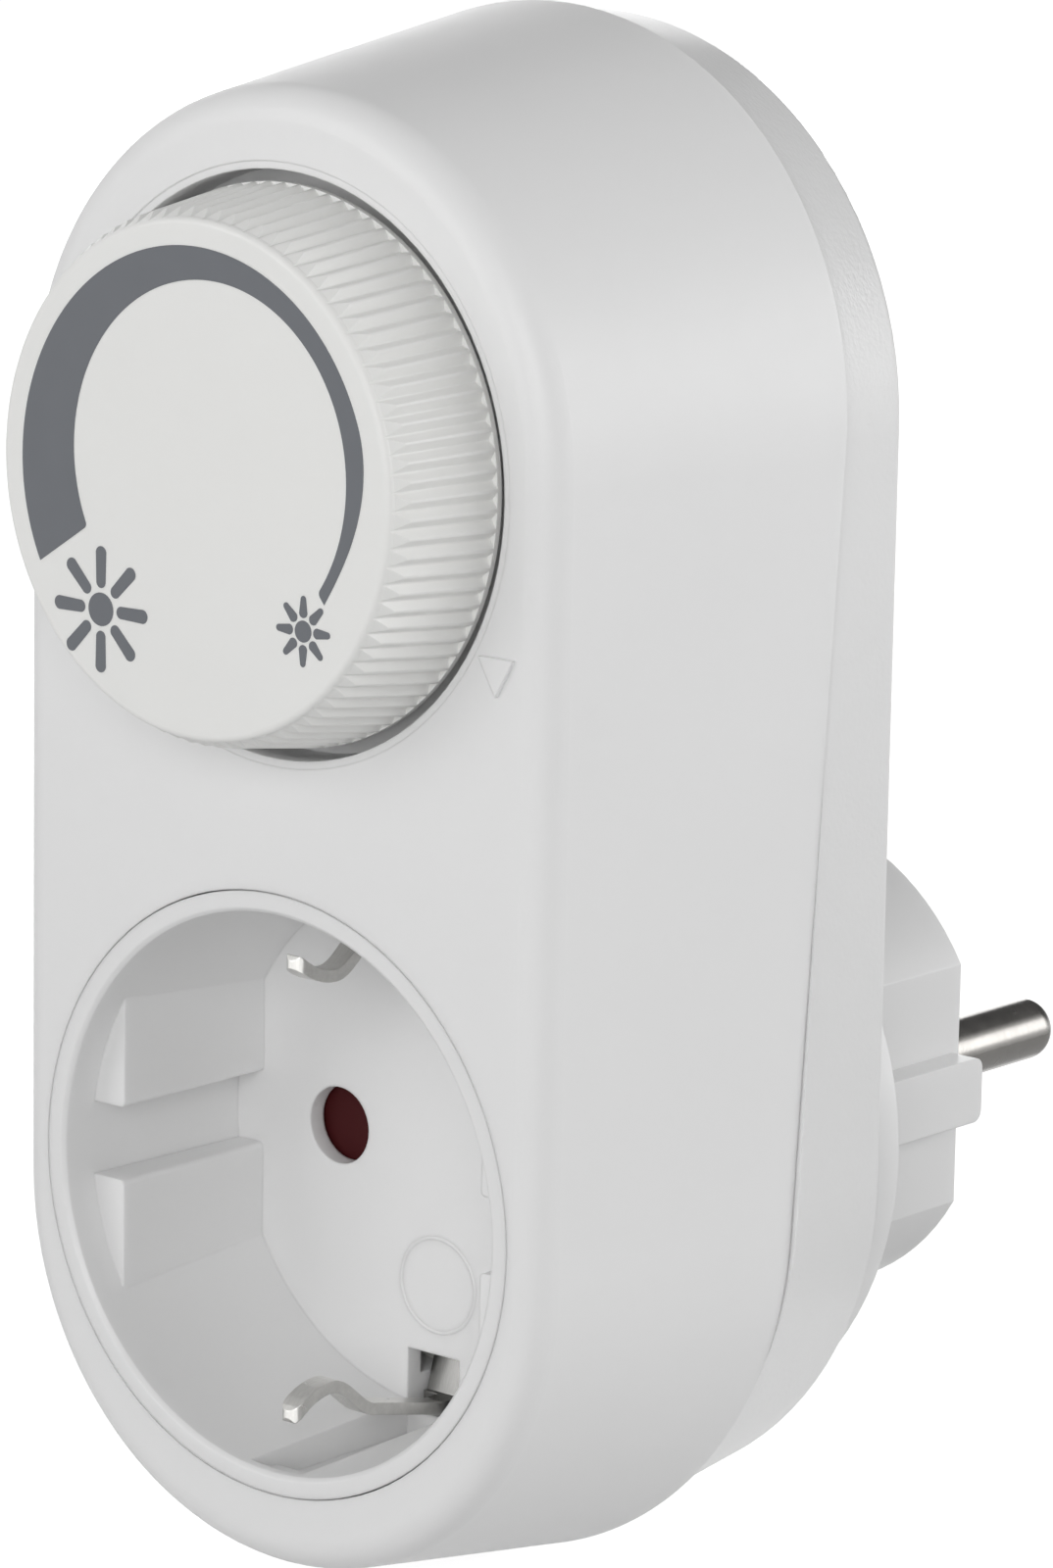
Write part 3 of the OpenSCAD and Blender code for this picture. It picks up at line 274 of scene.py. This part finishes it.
def make_gloss_drift():
    """Uneven gloss: a mean roughness with cloudy patches."""
    inputs = {"Mean": "Float", "Spread": "Float", "Size": "Float"}
    tree, given, out = new_group("gloss_drift", inputs, {"Roughness": "Float"})
    cloud = noise(tree, sized(tree, given["Size"]), Detail=4.0)
    swing = calc(tree, "SUBTRACT", cloud, NOISE_MIDDLE)
    feed(tree, out, {"Roughness": calc(tree, "MULTIPLY_ADD", swing, given["Spread"], given["Mean"])})
    return tree


def make_drawn_lines():
    """Fine lines of a turned or drawn metal surface, counted per metre along each axis by Lines."""
    tree, given, out = new_group("drawn_lines", {"Lines": "Vector"}, {"Height": "Float", "Tone": "Float"})
    packed = put(tree, "VectorMath", {0: object_place(tree), 1: given["Lines"]}, operation="MULTIPLY")
    lines = noise(tree, packed.outputs[0], Detail=3.0, Roughness=0.65)
    tone = put(tree, "MapRange", {"Value": lines, "From Min": 0.3, "From Max": 0.7,
                                  "To Min": 0.9, "To Max": 1.05})
    feed(tree, out, {"Height": lines, "Tone": tone.outputs["Result"]})
    return tree


mould_grain = make_mould_grain()
tone_drift = make_tone_drift()
gloss_drift = make_gloss_drift()
drawn_lines = make_drawn_lines()


# Materials
def new_material(name):
    """An empty node material with its shader and output. Returns it, its tree and the shader node."""
    material = bpy.data.materials.new(name)
    material.use_nodes = True
    tree = material.node_tree
    tree.nodes.clear()
    shader = put(tree, "BsdfPrincipled", {})
    put(tree, "OutputMaterial", {"Surface": shader.outputs[0]})
    return material, tree, shader


def drifting(tree, colour, rough, tone_size, tone_amount, rough_size, rough_spread):
    """A colour and a roughness that drift over the surface."""
    tone = place(tree, tone_drift, Color=colour, Size=tone_size * MM, Amount=tone_amount)
    gloss = place(tree, gloss_drift, Mean=rough, Spread=rough_spread, Size=rough_size * MM)
    return tone["Color"], gloss["Roughness"]


def soft_edges(tree, radius):
    """A normal that rounds the edges."""
    return put(tree, "Bevel", {"Radius": radius * MM}, samples=EDGE_SAMPLES).outputs[0]


def short_of(tree, limit):
    """1 on the front side of a Y in mm, 0 behind it, with a soft change."""
    fade = put(tree, "MapRange", {"Value": along(tree, "Y"), "From Min": limit * MM,
                                  "From Max": (limit + FADE) * MM, "To Min": 1.0, "To Max": 0.0})
    return fade.outputs["Result"]


def moulded_plastic(name, colour, rough, grain, depth, edge=0.15, shine=0.5, reach=0.0, grain_end=None):
    """Moulded plastic: colour, mean roughness, grain size and depth, softness of its edges, specular level,
    how far light reaches inside it, and the Y from which it is smooth. Lengths in mm."""
    material, tree, shader = new_material(name)
    tone, gloss = drifting(tree, colour, rough, **PLASTIC_DRIFT)
    height = place(tree, mould_grain, Size=grain * MM)["Height"]
    strength = 1.0 if grain_end is None else short_of(tree, grain_end)
    bump = put(tree, "Bump", {"Height": height, "Normal": soft_edges(tree, edge),
                              "Distance": depth * MM, "Strength": strength})
    feed(tree, shader, {"Base Color": tone, "Roughness": gloss, "Normal": bump.outputs[0],
                        "Specular IOR Level": shine})
    if reach:
        feed(tree, shader, {"Subsurface Weight": SPREAD_SHARE, "Subsurface Radius": (1.0, 1.0, 1.0),
                            "Subsurface Scale": reach * MM})
    return material


def plated_metal(name, colour, rough, lines, depth, edge=0.1, painted_shade_from=None):
    """Plated or bare metal with its drawn lines, counted per millimetre along X, Y and Z. Behind a Y given
    in mm, its colour is darkened as painted shade."""
    material, tree, shader = new_material(name)
    drawn = place(tree, drawn_lines, Lines=Vector(lines) / MM)
    tone, gloss = drifting(tree, colour, rough, **METAL_DRIFT)
    shade = drawn["Tone"]
    # The colour behind the given Y is darkened as painted shade
    if painted_shade_from is not None:
        bright = short_of(tree, painted_shade_from)
        painted_shade_factor = put(tree, "MapRange", {"Value": bright, "To Min": PAINTED_SHADE_SHARE, "To Max": 1.0})
        shade = calc(tree, "MULTIPLY", shade, painted_shade_factor.outputs["Result"])
    bump = put(tree, "Bump", {"Height": drawn["Height"], "Normal": soft_edges(tree, edge),
                              "Distance": depth * MM, "Strength": 1.0})
    feed(tree, shader, {"Base Color": scaled(tree, tone, shade), "Roughness": gloss,
                        "Normal": bump.outputs[0], "Metallic": 1.0})
    return material


def printing_ink():
    """Pad-printed slate ink: matt, with a slightly uneven film."""
    material, tree, shader = new_material("printing_ink")
    tone, gloss = drifting(tree, INK_PAINT, INK_ROUGH, **INK_DRIFT)
    height = place(tree, mould_grain, Size=INK_GRAIN * MM)["Height"]
    bump = put(tree, "Bump", {"Height": height, "Distance": INK_GRAIN_DEPTH * MM, "Strength": 1.0})
    feed(tree, shader, {"Base Color": tone, "Roughness": gloss, "Normal": bump.outputs[0]})
    return material


def between(tree, start, end):
    """1 between two X, 0 outside."""
    x = along(tree, "X")
    return calc(tree, "MULTIPLY", calc(tree, "GREATER_THAN", x, start), calc(tree, "LESS_THAN", x, end))


def paint_rings(material, node, rings, bare=False):
    """Paints rings round a node that lies along X, measured from its left end. Bare rings are metal."""
    tree = material.node_tree
    shader = next(part for part in tree.nodes if part.type == "BSDF_PRINCIPLED")
    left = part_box(node)[0].x
    metal = 0.0
    for ring in rings:
        inside = between(tree, left + ring["start"] * MM, left + ring["end"] * MM)
        under = shader.inputs["Base Color"].links[0].from_socket
        mixed = put(tree, "Mix", {"Factor": inside, "A": under, "B": ring["colour"]}, data_type="RGBA")
        feed(tree, shader, {"Base Color": mixed.outputs["Result"]})
        if bare:
            metal = calc(tree, "MAXIMUM", metal, inside)
            feed(tree, shader, {"Metallic": metal})


# Finishes of the record's material slots, with lengths in millimetres
PLASTICS = {
    "front_plastic": dict(colour=paint(236, 236, 236), rough=0.45, grain=0.18, depth=0.004,
                          reach=WHITE_REACH),
    "rear_plastic": dict(colour=paint(234, 234, 234), rough=0.34, grain=0.40, depth=0.032, shine=0.45,
                         reach=WHITE_REACH, grain_end=REAR_BACK),
    "socket_plastic": dict(colour=paint(234, 234, 234), rough=0.36, grain=0.20, depth=0.003, edge=0.25,
                           reach=WHITE_REACH),
    "knob_plastic": dict(colour=paint(238, 238, 236), rough=0.42, grain=0.16, depth=0.003, edge=0.06,
                         reach=KNOB_REACH),
    "carrier_plastic": dict(colour=paint(206, 205, 200), rough=0.45, grain=0.25, depth=0.005),
    "shutter_plastic": dict(colour=paint(66, 20, 22), rough=0.50, grain=0.20, depth=0.004, shine=0.12),
    "black_plastic": dict(colour=paint(44, 44, 46), rough=0.55, grain=0.20, depth=0.010),
    "pot_case_plastic": dict(colour=paint(52, 56, 64), rough=0.50, grain=0.25, depth=0.006),
    "pot_shaft_plastic": dict(colour=paint(224, 222, 210), rough=0.42, grain=0.20, depth=0.004),
    "board_laminate": dict(colour=paint(150, 118, 62), rough=0.50, grain=0.35, depth=0.008),
    "core_ferrite": dict(colour=paint(70, 72, 70), rough=0.62, grain=0.15, depth=0.010),
    "capacitor_case": dict(colour=paint(222, 190, 52), rough=0.40, grain=0.30, depth=0.004),
    "small_capacitor": dict(colour=paint(150, 58, 40), rough=0.35, grain=0.30, depth=0.006),
    "diac_glass": dict(colour=paint(176, 92, 62), rough=0.15, grain=0.40, depth=0.002),
    "resistor_body": dict(colour=paint(206, 178, 132), rough=0.40, grain=0.30, depth=0.006),
    "fuse_glass": dict(colour=paint(214, 220, 220), rough=0.20, grain=0.60, depth=0.001),
    "brown_insulation": dict(colour=paint(112, 66, 40), rough=0.45, grain=0.25, depth=0.004),
    "blue_insulation": dict(colour=paint(58, 82, 150), rough=0.45, grain=0.25, depth=0.004),
}
METALS = {
    "spring_steel": dict(colour=paint(188, 187, 184), rough=0.28, lines=(4, 4, 4), depth=0.002),
    "plated_strip": dict(colour=paint(206, 205, 202), rough=0.30, lines=(9, 1.2, 1.2), depth=0.003),
    "nickel_pin": dict(colour=paint(145, 143, 140), rough=0.25, lines=(0.6, 14, 0.6), depth=0.002),
    "contact_brass": dict(colour=paint(206, 178, 104), rough=0.28, lines=(1.2, 6, 1.2), depth=0.003),
    "sink_aluminium": dict(colour=paint(204, 206, 208), rough=0.34, lines=(1, 1, 8), depth=0.003),
    "screw_steel": dict(colour=paint(190, 190, 188), rough=0.30, lines=(3, 3, 3), depth=0.003),
    "winding_copper": dict(colour=paint(196, 112, 66), rough=0.25, lines=(3, 3, 3), depth=0.002),
}
FINISHES = {name: moulded_plastic(name, **look) for name, look in PLASTICS.items()}
FINISHES.update({name: plated_metal(name, **look) for name, look in METALS.items()})

# The strap is plated brighter than the strip, and behind the socket's floor its colour is darkened as
# painted shade
STRAP_PLATING = dict(METALS["plated_strip"], colour=paint(222, 221, 218), painted_shade_from=SOCKET_FLOOR)
# Nodes whose finish differs from their slot's
OWN_FINISHES = {"earth_strap": plated_metal("strap_plating_painted_shade", **STRAP_PLATING)}
# The ring on the socket's floor is too thin to let light spread in it, and its colour is a little darker
# than the socket's as painted shade along it
ring_plastic_painted_shade = moulded_plastic("ring_plastic_painted_shade", paint(226, 226, 226), rough=0.36, grain=0.20, depth=0.003,
                               edge=0.10)

# Rings on the small parts that lie along X, in millimetres from their left end
RESISTOR_RINGS = (
    dict(start=0.7, end=1.3, colour=paint(96, 58, 34)),
    dict(start=2.0, end=2.6, colour=paint(30, 30, 30)),
    dict(start=3.3, end=3.9, colour=paint(214, 110, 40)),
    dict(start=5.2, end=5.8, colour=paint(176, 140, 62)),
)
DIAC_RINGS = (dict(start=2.7, end=3.4, colour=paint(34, 32, 34)),)
CAP_PLATING = paint(198, 196, 190)
FUSE_CAPS = (
    dict(start=-0.5, end=5.1, colour=CAP_PLATING),
    dict(start=14.9, end=20.5, colour=CAP_PLATING),
)
paint_rings(FINISHES["resistor_body"], "resistors", RESISTOR_RINGS)
paint_rings(FINISHES["diac_glass"], "diac", DIAC_RINGS)
paint_rings(FINISHES["fuse_glass"], "fuse", FUSE_CAPS, bare=True)


def slot_name(slot):
    """The record's name of a node's material slot."""
    return slot.material.name.split(".")[0]


def finish_nodes():
    """Gives every node of the frame its own finish or that of its slot."""
    for name, node in nodes.items():
        for slot in node.material_slots:
            slot.material = OWN_FINISHES.get(name, FINISHES[slot_name(slot)])


# Pieces
def new_piece(name, bm, material, body):
    """Turns a bmesh into a piece that rides on a body."""
    bmesh.ops.recalc_face_normals(bm, faces=bm.faces)
    mesh = bpy.data.meshes.new(name)
    bm.to_mesh(mesh)
    bm.free()
    mesh.materials.append(material)
    piece = bpy.data.objects.new(name, mesh)
    scene.collection.objects.link(piece)
    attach(piece, body)
    return piece


def stand(bm, spot, turn):
    """Sets a shape drawn in millimetres at a place in metres, with its top to the front or to the wall."""
    upright = Matrix.Translation(spot) @ Matrix.Rotation(turn, 4, "X") @ Matrix.Scale(MM, 4)
    bmesh.ops.transform(bm, matrix=upright, verts=bm.verts)


def spin_round(bm, chain, links, steps):
    """Spins a chain of vertices and its links once round the Z axis."""
    bmesh.ops.spin(bm, geom=[*chain, *links], cent=(0, 0, 0), axis=(0, 0, 1), angle=math.tau,
                   steps=steps, use_merge=True)


def crescent_outer(angle):
    """Outer radius of the printed crescent, drawn in towards its thin end by a smooth step."""
    share = min(max((TAPER_START - angle) / TAPER_LENGTH, 0), 1)
    return CRESCENT_R - TAPER_FALL * share * share * (3 - 2 * share)


def crescent_inner(angle):
    """Inner radius of the printed crescent: a circle off the knob's axis."""
    x, y = CRESCENT_HOLE_CENTRE
    turn = math.radians(angle)
    reach = x * math.cos(turn) + y * math.sin(turn)
    return reach + math.sqrt(CRESCENT_HOLE_R ** 2 - (x * x + y * y) + reach ** 2)


def print_crescent(bm):
    """The brightness crescent: half a ring, then drawn to its own ends, radii and corners."""
    ends = [bm.verts.new((CRESCENT_R, 0, 0)), bm.verts.new((CRESCENT_HOLE_R, 0, 0))]
    thick_end = bm.edges.new(ends)
    bmesh.ops.spin(bm, geom=[*ends, thick_end], cent=(0, 0, 0), axis=(0, 0, 1), angle=math.pi,
                   steps=CRESCENT_STEPS)
    middle = (CRESCENT_R + CRESCENT_HOLE_R) / 2
    corners = []
    for vert in bm.verts:
        share = math.atan2(abs(vert.co.y), vert.co.x) / math.pi
        outer = vert.co.length > middle
        start, end = CRESCENT_OUTER_ENDS if outer else CRESCENT_INNER_ENDS
        angle = start + (end - start) * share
        radius = crescent_outer(angle) if outer else crescent_inner(angle)
        turn = math.radians(angle)
        vert.co = Vector((math.cos(turn), math.sin(turn), 0)) * radius
        if len(vert.link_faces) == 1 and not outer:
            corners.append(vert)
    bmesh.ops.bevel(bm, geom=corners, offset=CRESCENT_CORNER, segments=CRESCENT_CORNER_STEPS, profile=0.5,
                    affect="VERTICES", material=-1)


def print_sun(bm, centre, core, ray_start, ray_end, near_w, far_w):
    """A sun sign: a round core, and rays with round ends that change in width away from the core."""
    spot = Matrix.Translation((*centre, 0))
    bmesh.ops.create_circle(bm, cap_ends=True, radius=core, segments=SUN_CORE_SIDES, matrix=spot)
    near_r = near_w / 2
    far_r = far_w / 2
    half_step = Matrix.Rotation(math.pi / SUN_RAY_SIDES, 4, "Z")
    out = Matrix.Translation((ray_start + near_r, 0, 0))
    for index in range(SUN_RAYS):
        ray = bmesh.ops.create_circle(bm, cap_ends=True, radius=near_r, segments=SUN_RAY_SIDES,
                                      matrix=half_step)["verts"]
        far_end = [vert for vert in ray if vert.co.x > 0]
        bmesh.ops.scale(bm, verts=far_end, vec=(far_r / near_r, far_r / near_r, 1))
        bmesh.ops.translate(bm, verts=far_end, vec=(ray_end - ray_start - near_r - far_r, 0, 0))
        turn = Matrix.Rotation(math.tau * index / SUN_RAYS, 4, "Z")
        bmesh.ops.transform(bm, matrix=spot @ turn @ out, verts=ray)


def knob_print():
    """The ink on the knob's face: crescent, bright sun and dim sun, rooted one layer deep in the face."""
    low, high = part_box("knob")
    bm = bmesh.new()
    print_crescent(bm)
    print_sun(bm, **BIG_SUN)
    print_sun(bm, **SMALL_SUN)
    film = bmesh.ops.extrude_face_region(bm, geom=bm.faces[:])["geom"]
    raised = [part for part in film if isinstance(part, bmesh.types.BMVert)]
    bmesh.ops.translate(bm, verts=bm.verts, vec=(0, 0, -INK_LAYER))
    bmesh.ops.translate(bm, verts=raised, vec=(0, 0, 2 * INK_LAYER))
    stand(bm, ((low.x + high.x) / 2, low.y, (low.z + high.z) / 2), TO_FRONT)
    return new_piece("knob_print", bm, printing_ink(), "knob")


def floor_ring():
    """The bare ring moulded on the socket's floor, rooted a little in it."""
    bm = bmesh.new()
    chain = [
        bm.verts.new((RING_R - RING_HALF, 0, -RING_RISE)),
        bm.verts.new((RING_R - RING_TOP_HALF, 0, RING_RISE)),
        bm.verts.new((RING_R + RING_TOP_HALF, 0, RING_RISE)),
        bm.verts.new((RING_R + RING_HALF, 0, -RING_RISE)),
    ]
    links = [bm.edges.new(pair) for pair in zip(chain, chain[1:] + chain[:1])]
    spin_round(bm, chain, links, RING_STEPS)
    stand(bm, Vector((RING_CENTRE[0], SOCKET_FLOOR, RING_CENTRE[1])) * MM, TO_FRONT)
    return new_piece("floor_ring", bm, ring_plastic_painted_shade, "housing")


def screw_profile(length, shank, head, head_h):
    """Half profile of a pan-head screw, from its tip up: point, thread, shank and round-edged head."""
    pitch = THREAD_PITCH * shank
    rounds = int((length - head_h - shank) / pitch)
    points = [(0, 0)]
    for index in range(rounds):
        level = shank + index * pitch
        points += [(THREAD_ROOT * shank, level), (shank, level + pitch / 2)]
    points += [(shank, length - head_h), (head, length - head_h), (head, length - head_h / 2)]
    for step in range(1, HEAD_STEPS + 1):
        lean = math.pi / 2 * step / HEAD_STEPS
        radius = head * (1 - HEAD_BRIM * (1 - math.cos(lean)))
        points.append((radius, length - head_h / 2 * (1 - math.sin(lean))))
    return points


def open_edges_below(bm, level):
    """The open edges that lie lower than a level."""
    return [edge for edge in bm.edges if edge.is_boundary and edge.verts[0].co.z < level]


def cross_recess(bm, top, head):
    """The cross-shaped recess of a screw's head: a floor of nine unit squares is pulled to the arms' sizes,
    loses its corners and gets walls. Returns the edges of its opening."""
    arm = CROSS_ARM * head
    half = CROSS_HALF * head
    floor = bmesh.ops.create_grid(bm, x_segments=3, y_segments=3, size=1.5)["verts"]
    for vert in floor:
        for axis in (0, 1):
            vert.co[axis] = math.copysign(arm if abs(vert.co[axis]) > 1 else half, vert.co[axis])
        vert.co.z = top - CROSS_DEPTH * head
    corners = []
    for face in {face for vert in floor for face in vert.link_faces}:
        middle = face.calc_center_median()
        if min(abs(middle.x), abs(middle.y)) > half:
            corners.append(face)
    bmesh.ops.delete(bm, geom=corners, context="FACES")
    under_top = top - half / 2
    bmesh.ops.subdivide_edges(bm, edges=open_edges_below(bm, under_top), cuts=1)
    walls = bmesh.ops.extrude_edge_only(bm, edges=open_edges_below(bm, under_top))["geom"]
    for part in walls:
        if isinstance(part, bmesh.types.BMVert):
            part.co = Vector((CROSS_FLARE * part.co.x, CROSS_FLARE * part.co.y, top))
    return [part for part in walls if isinstance(part, bmesh.types.BMEdge)]


def cross_screw(length, shank, head, head_h):
    """One screw with a cross recess, drawn in millimetres from its tip up."""
    bm = bmesh.new()
    points = screw_profile(length, shank, head, head_h)
    chain = [bm.verts.new((radius, 0, level)) for radius, level in points]
    links = [bm.edges.new(pair) for pair in zip(chain, chain[1:])]
    spin_round(bm, chain, links, SCREW_SIDES)
    bmesh.ops.remove_doubles(bm, verts=bm.verts, dist=MERGE / MM)
    brim = [edge for edge in bm.edges if edge.is_boundary]
    bmesh.ops.bridge_loops(bm, edges=brim + cross_recess(bm, length, head))
    return bm


def cross_screws(node, shank, head, head_h):
    """Screws with a cross recess in place of the plain ones of a node. Their heads face the wall side."""
    low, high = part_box(node)
    across = (low.x / MM + head, high.x / MM - head)
    whole = bmesh.new()
    for x in sorted({round(side, 1) for side in across}):
        bm = cross_screw((high.y - low.y) / MM, shank, head, head_h)
        stand(bm, (x * MM, low.y, (low.z + high.z) / 2), TO_WALL)
        part = bpy.data.meshes.new(node)
        bm.to_mesh(part)
        bm.free()
        whole.from_mesh(part)
        bpy.data.meshes.remove(part)
    piece = new_piece(node + "_cross", whole, FINISHES["screw_steel"], "housing")
    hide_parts(node)


def rounded_wire(node):
    """A wire or winding with a round section in place of the faceted one of a node."""
    slot = slot_name(nodes[node].material_slots[0])
    bm = bmesh.new()
    bm.from_mesh(nodes[node].data)
    bmesh.ops.remove_doubles(bm, verts=bm.verts, dist=MERGE)
    for face in bm.faces:
        face.smooth = True
    piece = new_piece(node + "_round", bm, FINISHES[slot], "housing")
    if "custom_normal" in piece.data.attributes:
        piece.data.attributes.remove(piece.data.attributes["custom_normal"])
    rounding = piece.modifiers.new("rounding", "SUBSURF")
    rounding.levels = WIRE_ROUNDING
    rounding.render_levels = WIRE_ROUNDING
    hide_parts(node)


# Stage
def direction(azimuth, elevation):
    """Unit vector from the object outwards: azimuth from the front to the right, elevation above level."""
    around = math.radians(azimuth)
    up = math.radians(elevation)
    return Vector((math.sin(around) * math.cos(up), -math.cos(around) * math.cos(up), math.sin(up)))


def looked_at(tree):
    """1 for rays that show a surface: from the camera, off a gloss or through glass."""
    path = put(tree, "LightPath", {}).outputs
    mirrored = calc(tree, "MAXIMUM", path["Is Camera Ray"], path["Is Glossy Ray"])
    return calc(tree, "MAXIMUM", mirrored, path["Is Transmission Ray"])


def glowing(tree, strength):
    """A white glow."""
    return put(tree, "Emission", {"Color": WHITE, "Strength": strength}).outputs[0]


def stage_piece(name, size, spot, build_shader):
    """A flat rectangle of the stage, stretched from a unit square. build_shader makes its shader."""
    bm = bmesh.new()
    bmesh.ops.create_grid(bm, x_segments=1, y_segments=1, size=0.5,
                          matrix=spot @ Matrix.Diagonal((*size, 1, 1)))
    mesh = bpy.data.meshes.new(name)
    bm.to_mesh(mesh)
    bm.free()
    material = bpy.data.materials.new(name)
    material.use_nodes = True
    tree = material.node_tree
    tree.nodes.clear()
    put(tree, "OutputMaterial", {"Surface": build_shader(tree)})
    mesh.materials.append(material)
    piece = bpy.data.objects.new(name, mesh)
    scene.collection.objects.link(piece)
    return piece


def pale_floor():
    """White studio floor that keeps the object's shadow."""
    def build_shader(tree):
        matt = put(tree, "BsdfDiffuse", {"Color": FLOOR_PAINT}).outputs[0]
        lifted = put(tree, "AddShader", {0: matt, 1: glowing(tree, FLOOR_GLOW)}).outputs[0]
        return put(tree, "MixShader", {"Fac": looked_at(tree), 1: matt, 2: lifted}).outputs[0]
    stage_piece("pale_floor", (FLOOR_SIZE, FLOOR_SIZE), Matrix.Translation((0, 0, cad_low.z)), build_shader)


def mirror_card(name, size, spot, glow):
    """A card of the stage, hidden from the camera and from the light that falls on the object."""
    card = stage_piece(name, size, spot, lambda tree: glowing(tree, glow))
    card.visible_camera = False
    card.visible_diffuse = False
    card.visible_shadow = False


def mirror_cards():
    """The dark flag behind the object and the grey card just above the floor."""
    out = direction(FLAG_AZIMUTH, FLAG_ELEVATION)
    facing = out.to_track_quat("Z", "Y").to_matrix().to_4x4()
    mirror_card("dark_flag", FLAG_SIZE, Matrix.Translation(out * FLAG_DISTANCE) @ facing, FLAG_GLOW)
    mirror_card("grey_card", CARD_SIZE, Matrix.Translation((*CARD_MIDDLE, cad_low.z + MM)), CARD_GLOW)


def studio_world():
    """Even ambient light, with a plain white background for the rays that show it."""
    world = bpy.data.worlds.new("studio")
    scene.world = world
    world.use_nodes = True
    tree = world.node_tree
    tree.nodes.clear()
    dim = put(tree, "Background", {"Color": WHITE, "Strength": AMBIENT}).outputs[0]
    white = put(tree, "Background", {"Color": WHITE, "Strength": 1.0}).outputs[0]
    both = put(tree, "MixShader", {"Fac": looked_at(tree), 1: dim, 2: white})
    put(tree, "OutputWorld", {"Surface": both.outputs[0]})


def soft_lamps():
    """The softboxes, all turned to the middle of the object."""
    middle = (cad_low + cad_high) / 2
    for name, softbox in SOFTBOXES.items():
        data = bpy.data.lights.new(name, "AREA")
        data.shape = "SQUARE"
        data.size = softbox["size"]
        data.energy = softbox["power"]
        lamp = bpy.data.objects.new(name, data)
        scene.collection.objects.link(lamp)
        out = direction(softbox["azimuth"], softbox["elevation"])
        lamp.location = middle + out * LAMP_DISTANCE
        lamp.rotation_euler = out.to_track_quat("Z", "Y").to_euler()


def photo_camera():
    """Camera at the photograph's angle, distance and roll."""
    data = bpy.data.cameras.new("camera")
    data.lens = CAMERA_LENS
    data.sensor_width = CAMERA_SENSOR
    data.sensor_fit = "AUTO"
    camera = bpy.data.objects.new("camera", data)
    scene.collection.objects.link(camera)
    back = direction(CAMERA_AZIMUTH, CAMERA_ELEVATION)
    level = back.to_track_quat("Z", "Y").to_matrix().to_4x4()
    roll = Matrix.Rotation(math.radians(CAMERA_ROLL), 4, "Z")
    camera.matrix_world = Matrix.Translation(CAMERA_TARGET + back * CAMERA_DISTANCE) @ level @ roll
    scene.camera = camera


finish_nodes()
knob_print()
floor_ring()
for node, screw in SCREWS.items():
    cross_screws(node, **screw)
for node in WIRES:
    rounded_wire(node)
pale_floor()
mirror_cards()
studio_world()
soft_lamps()
photo_camera()
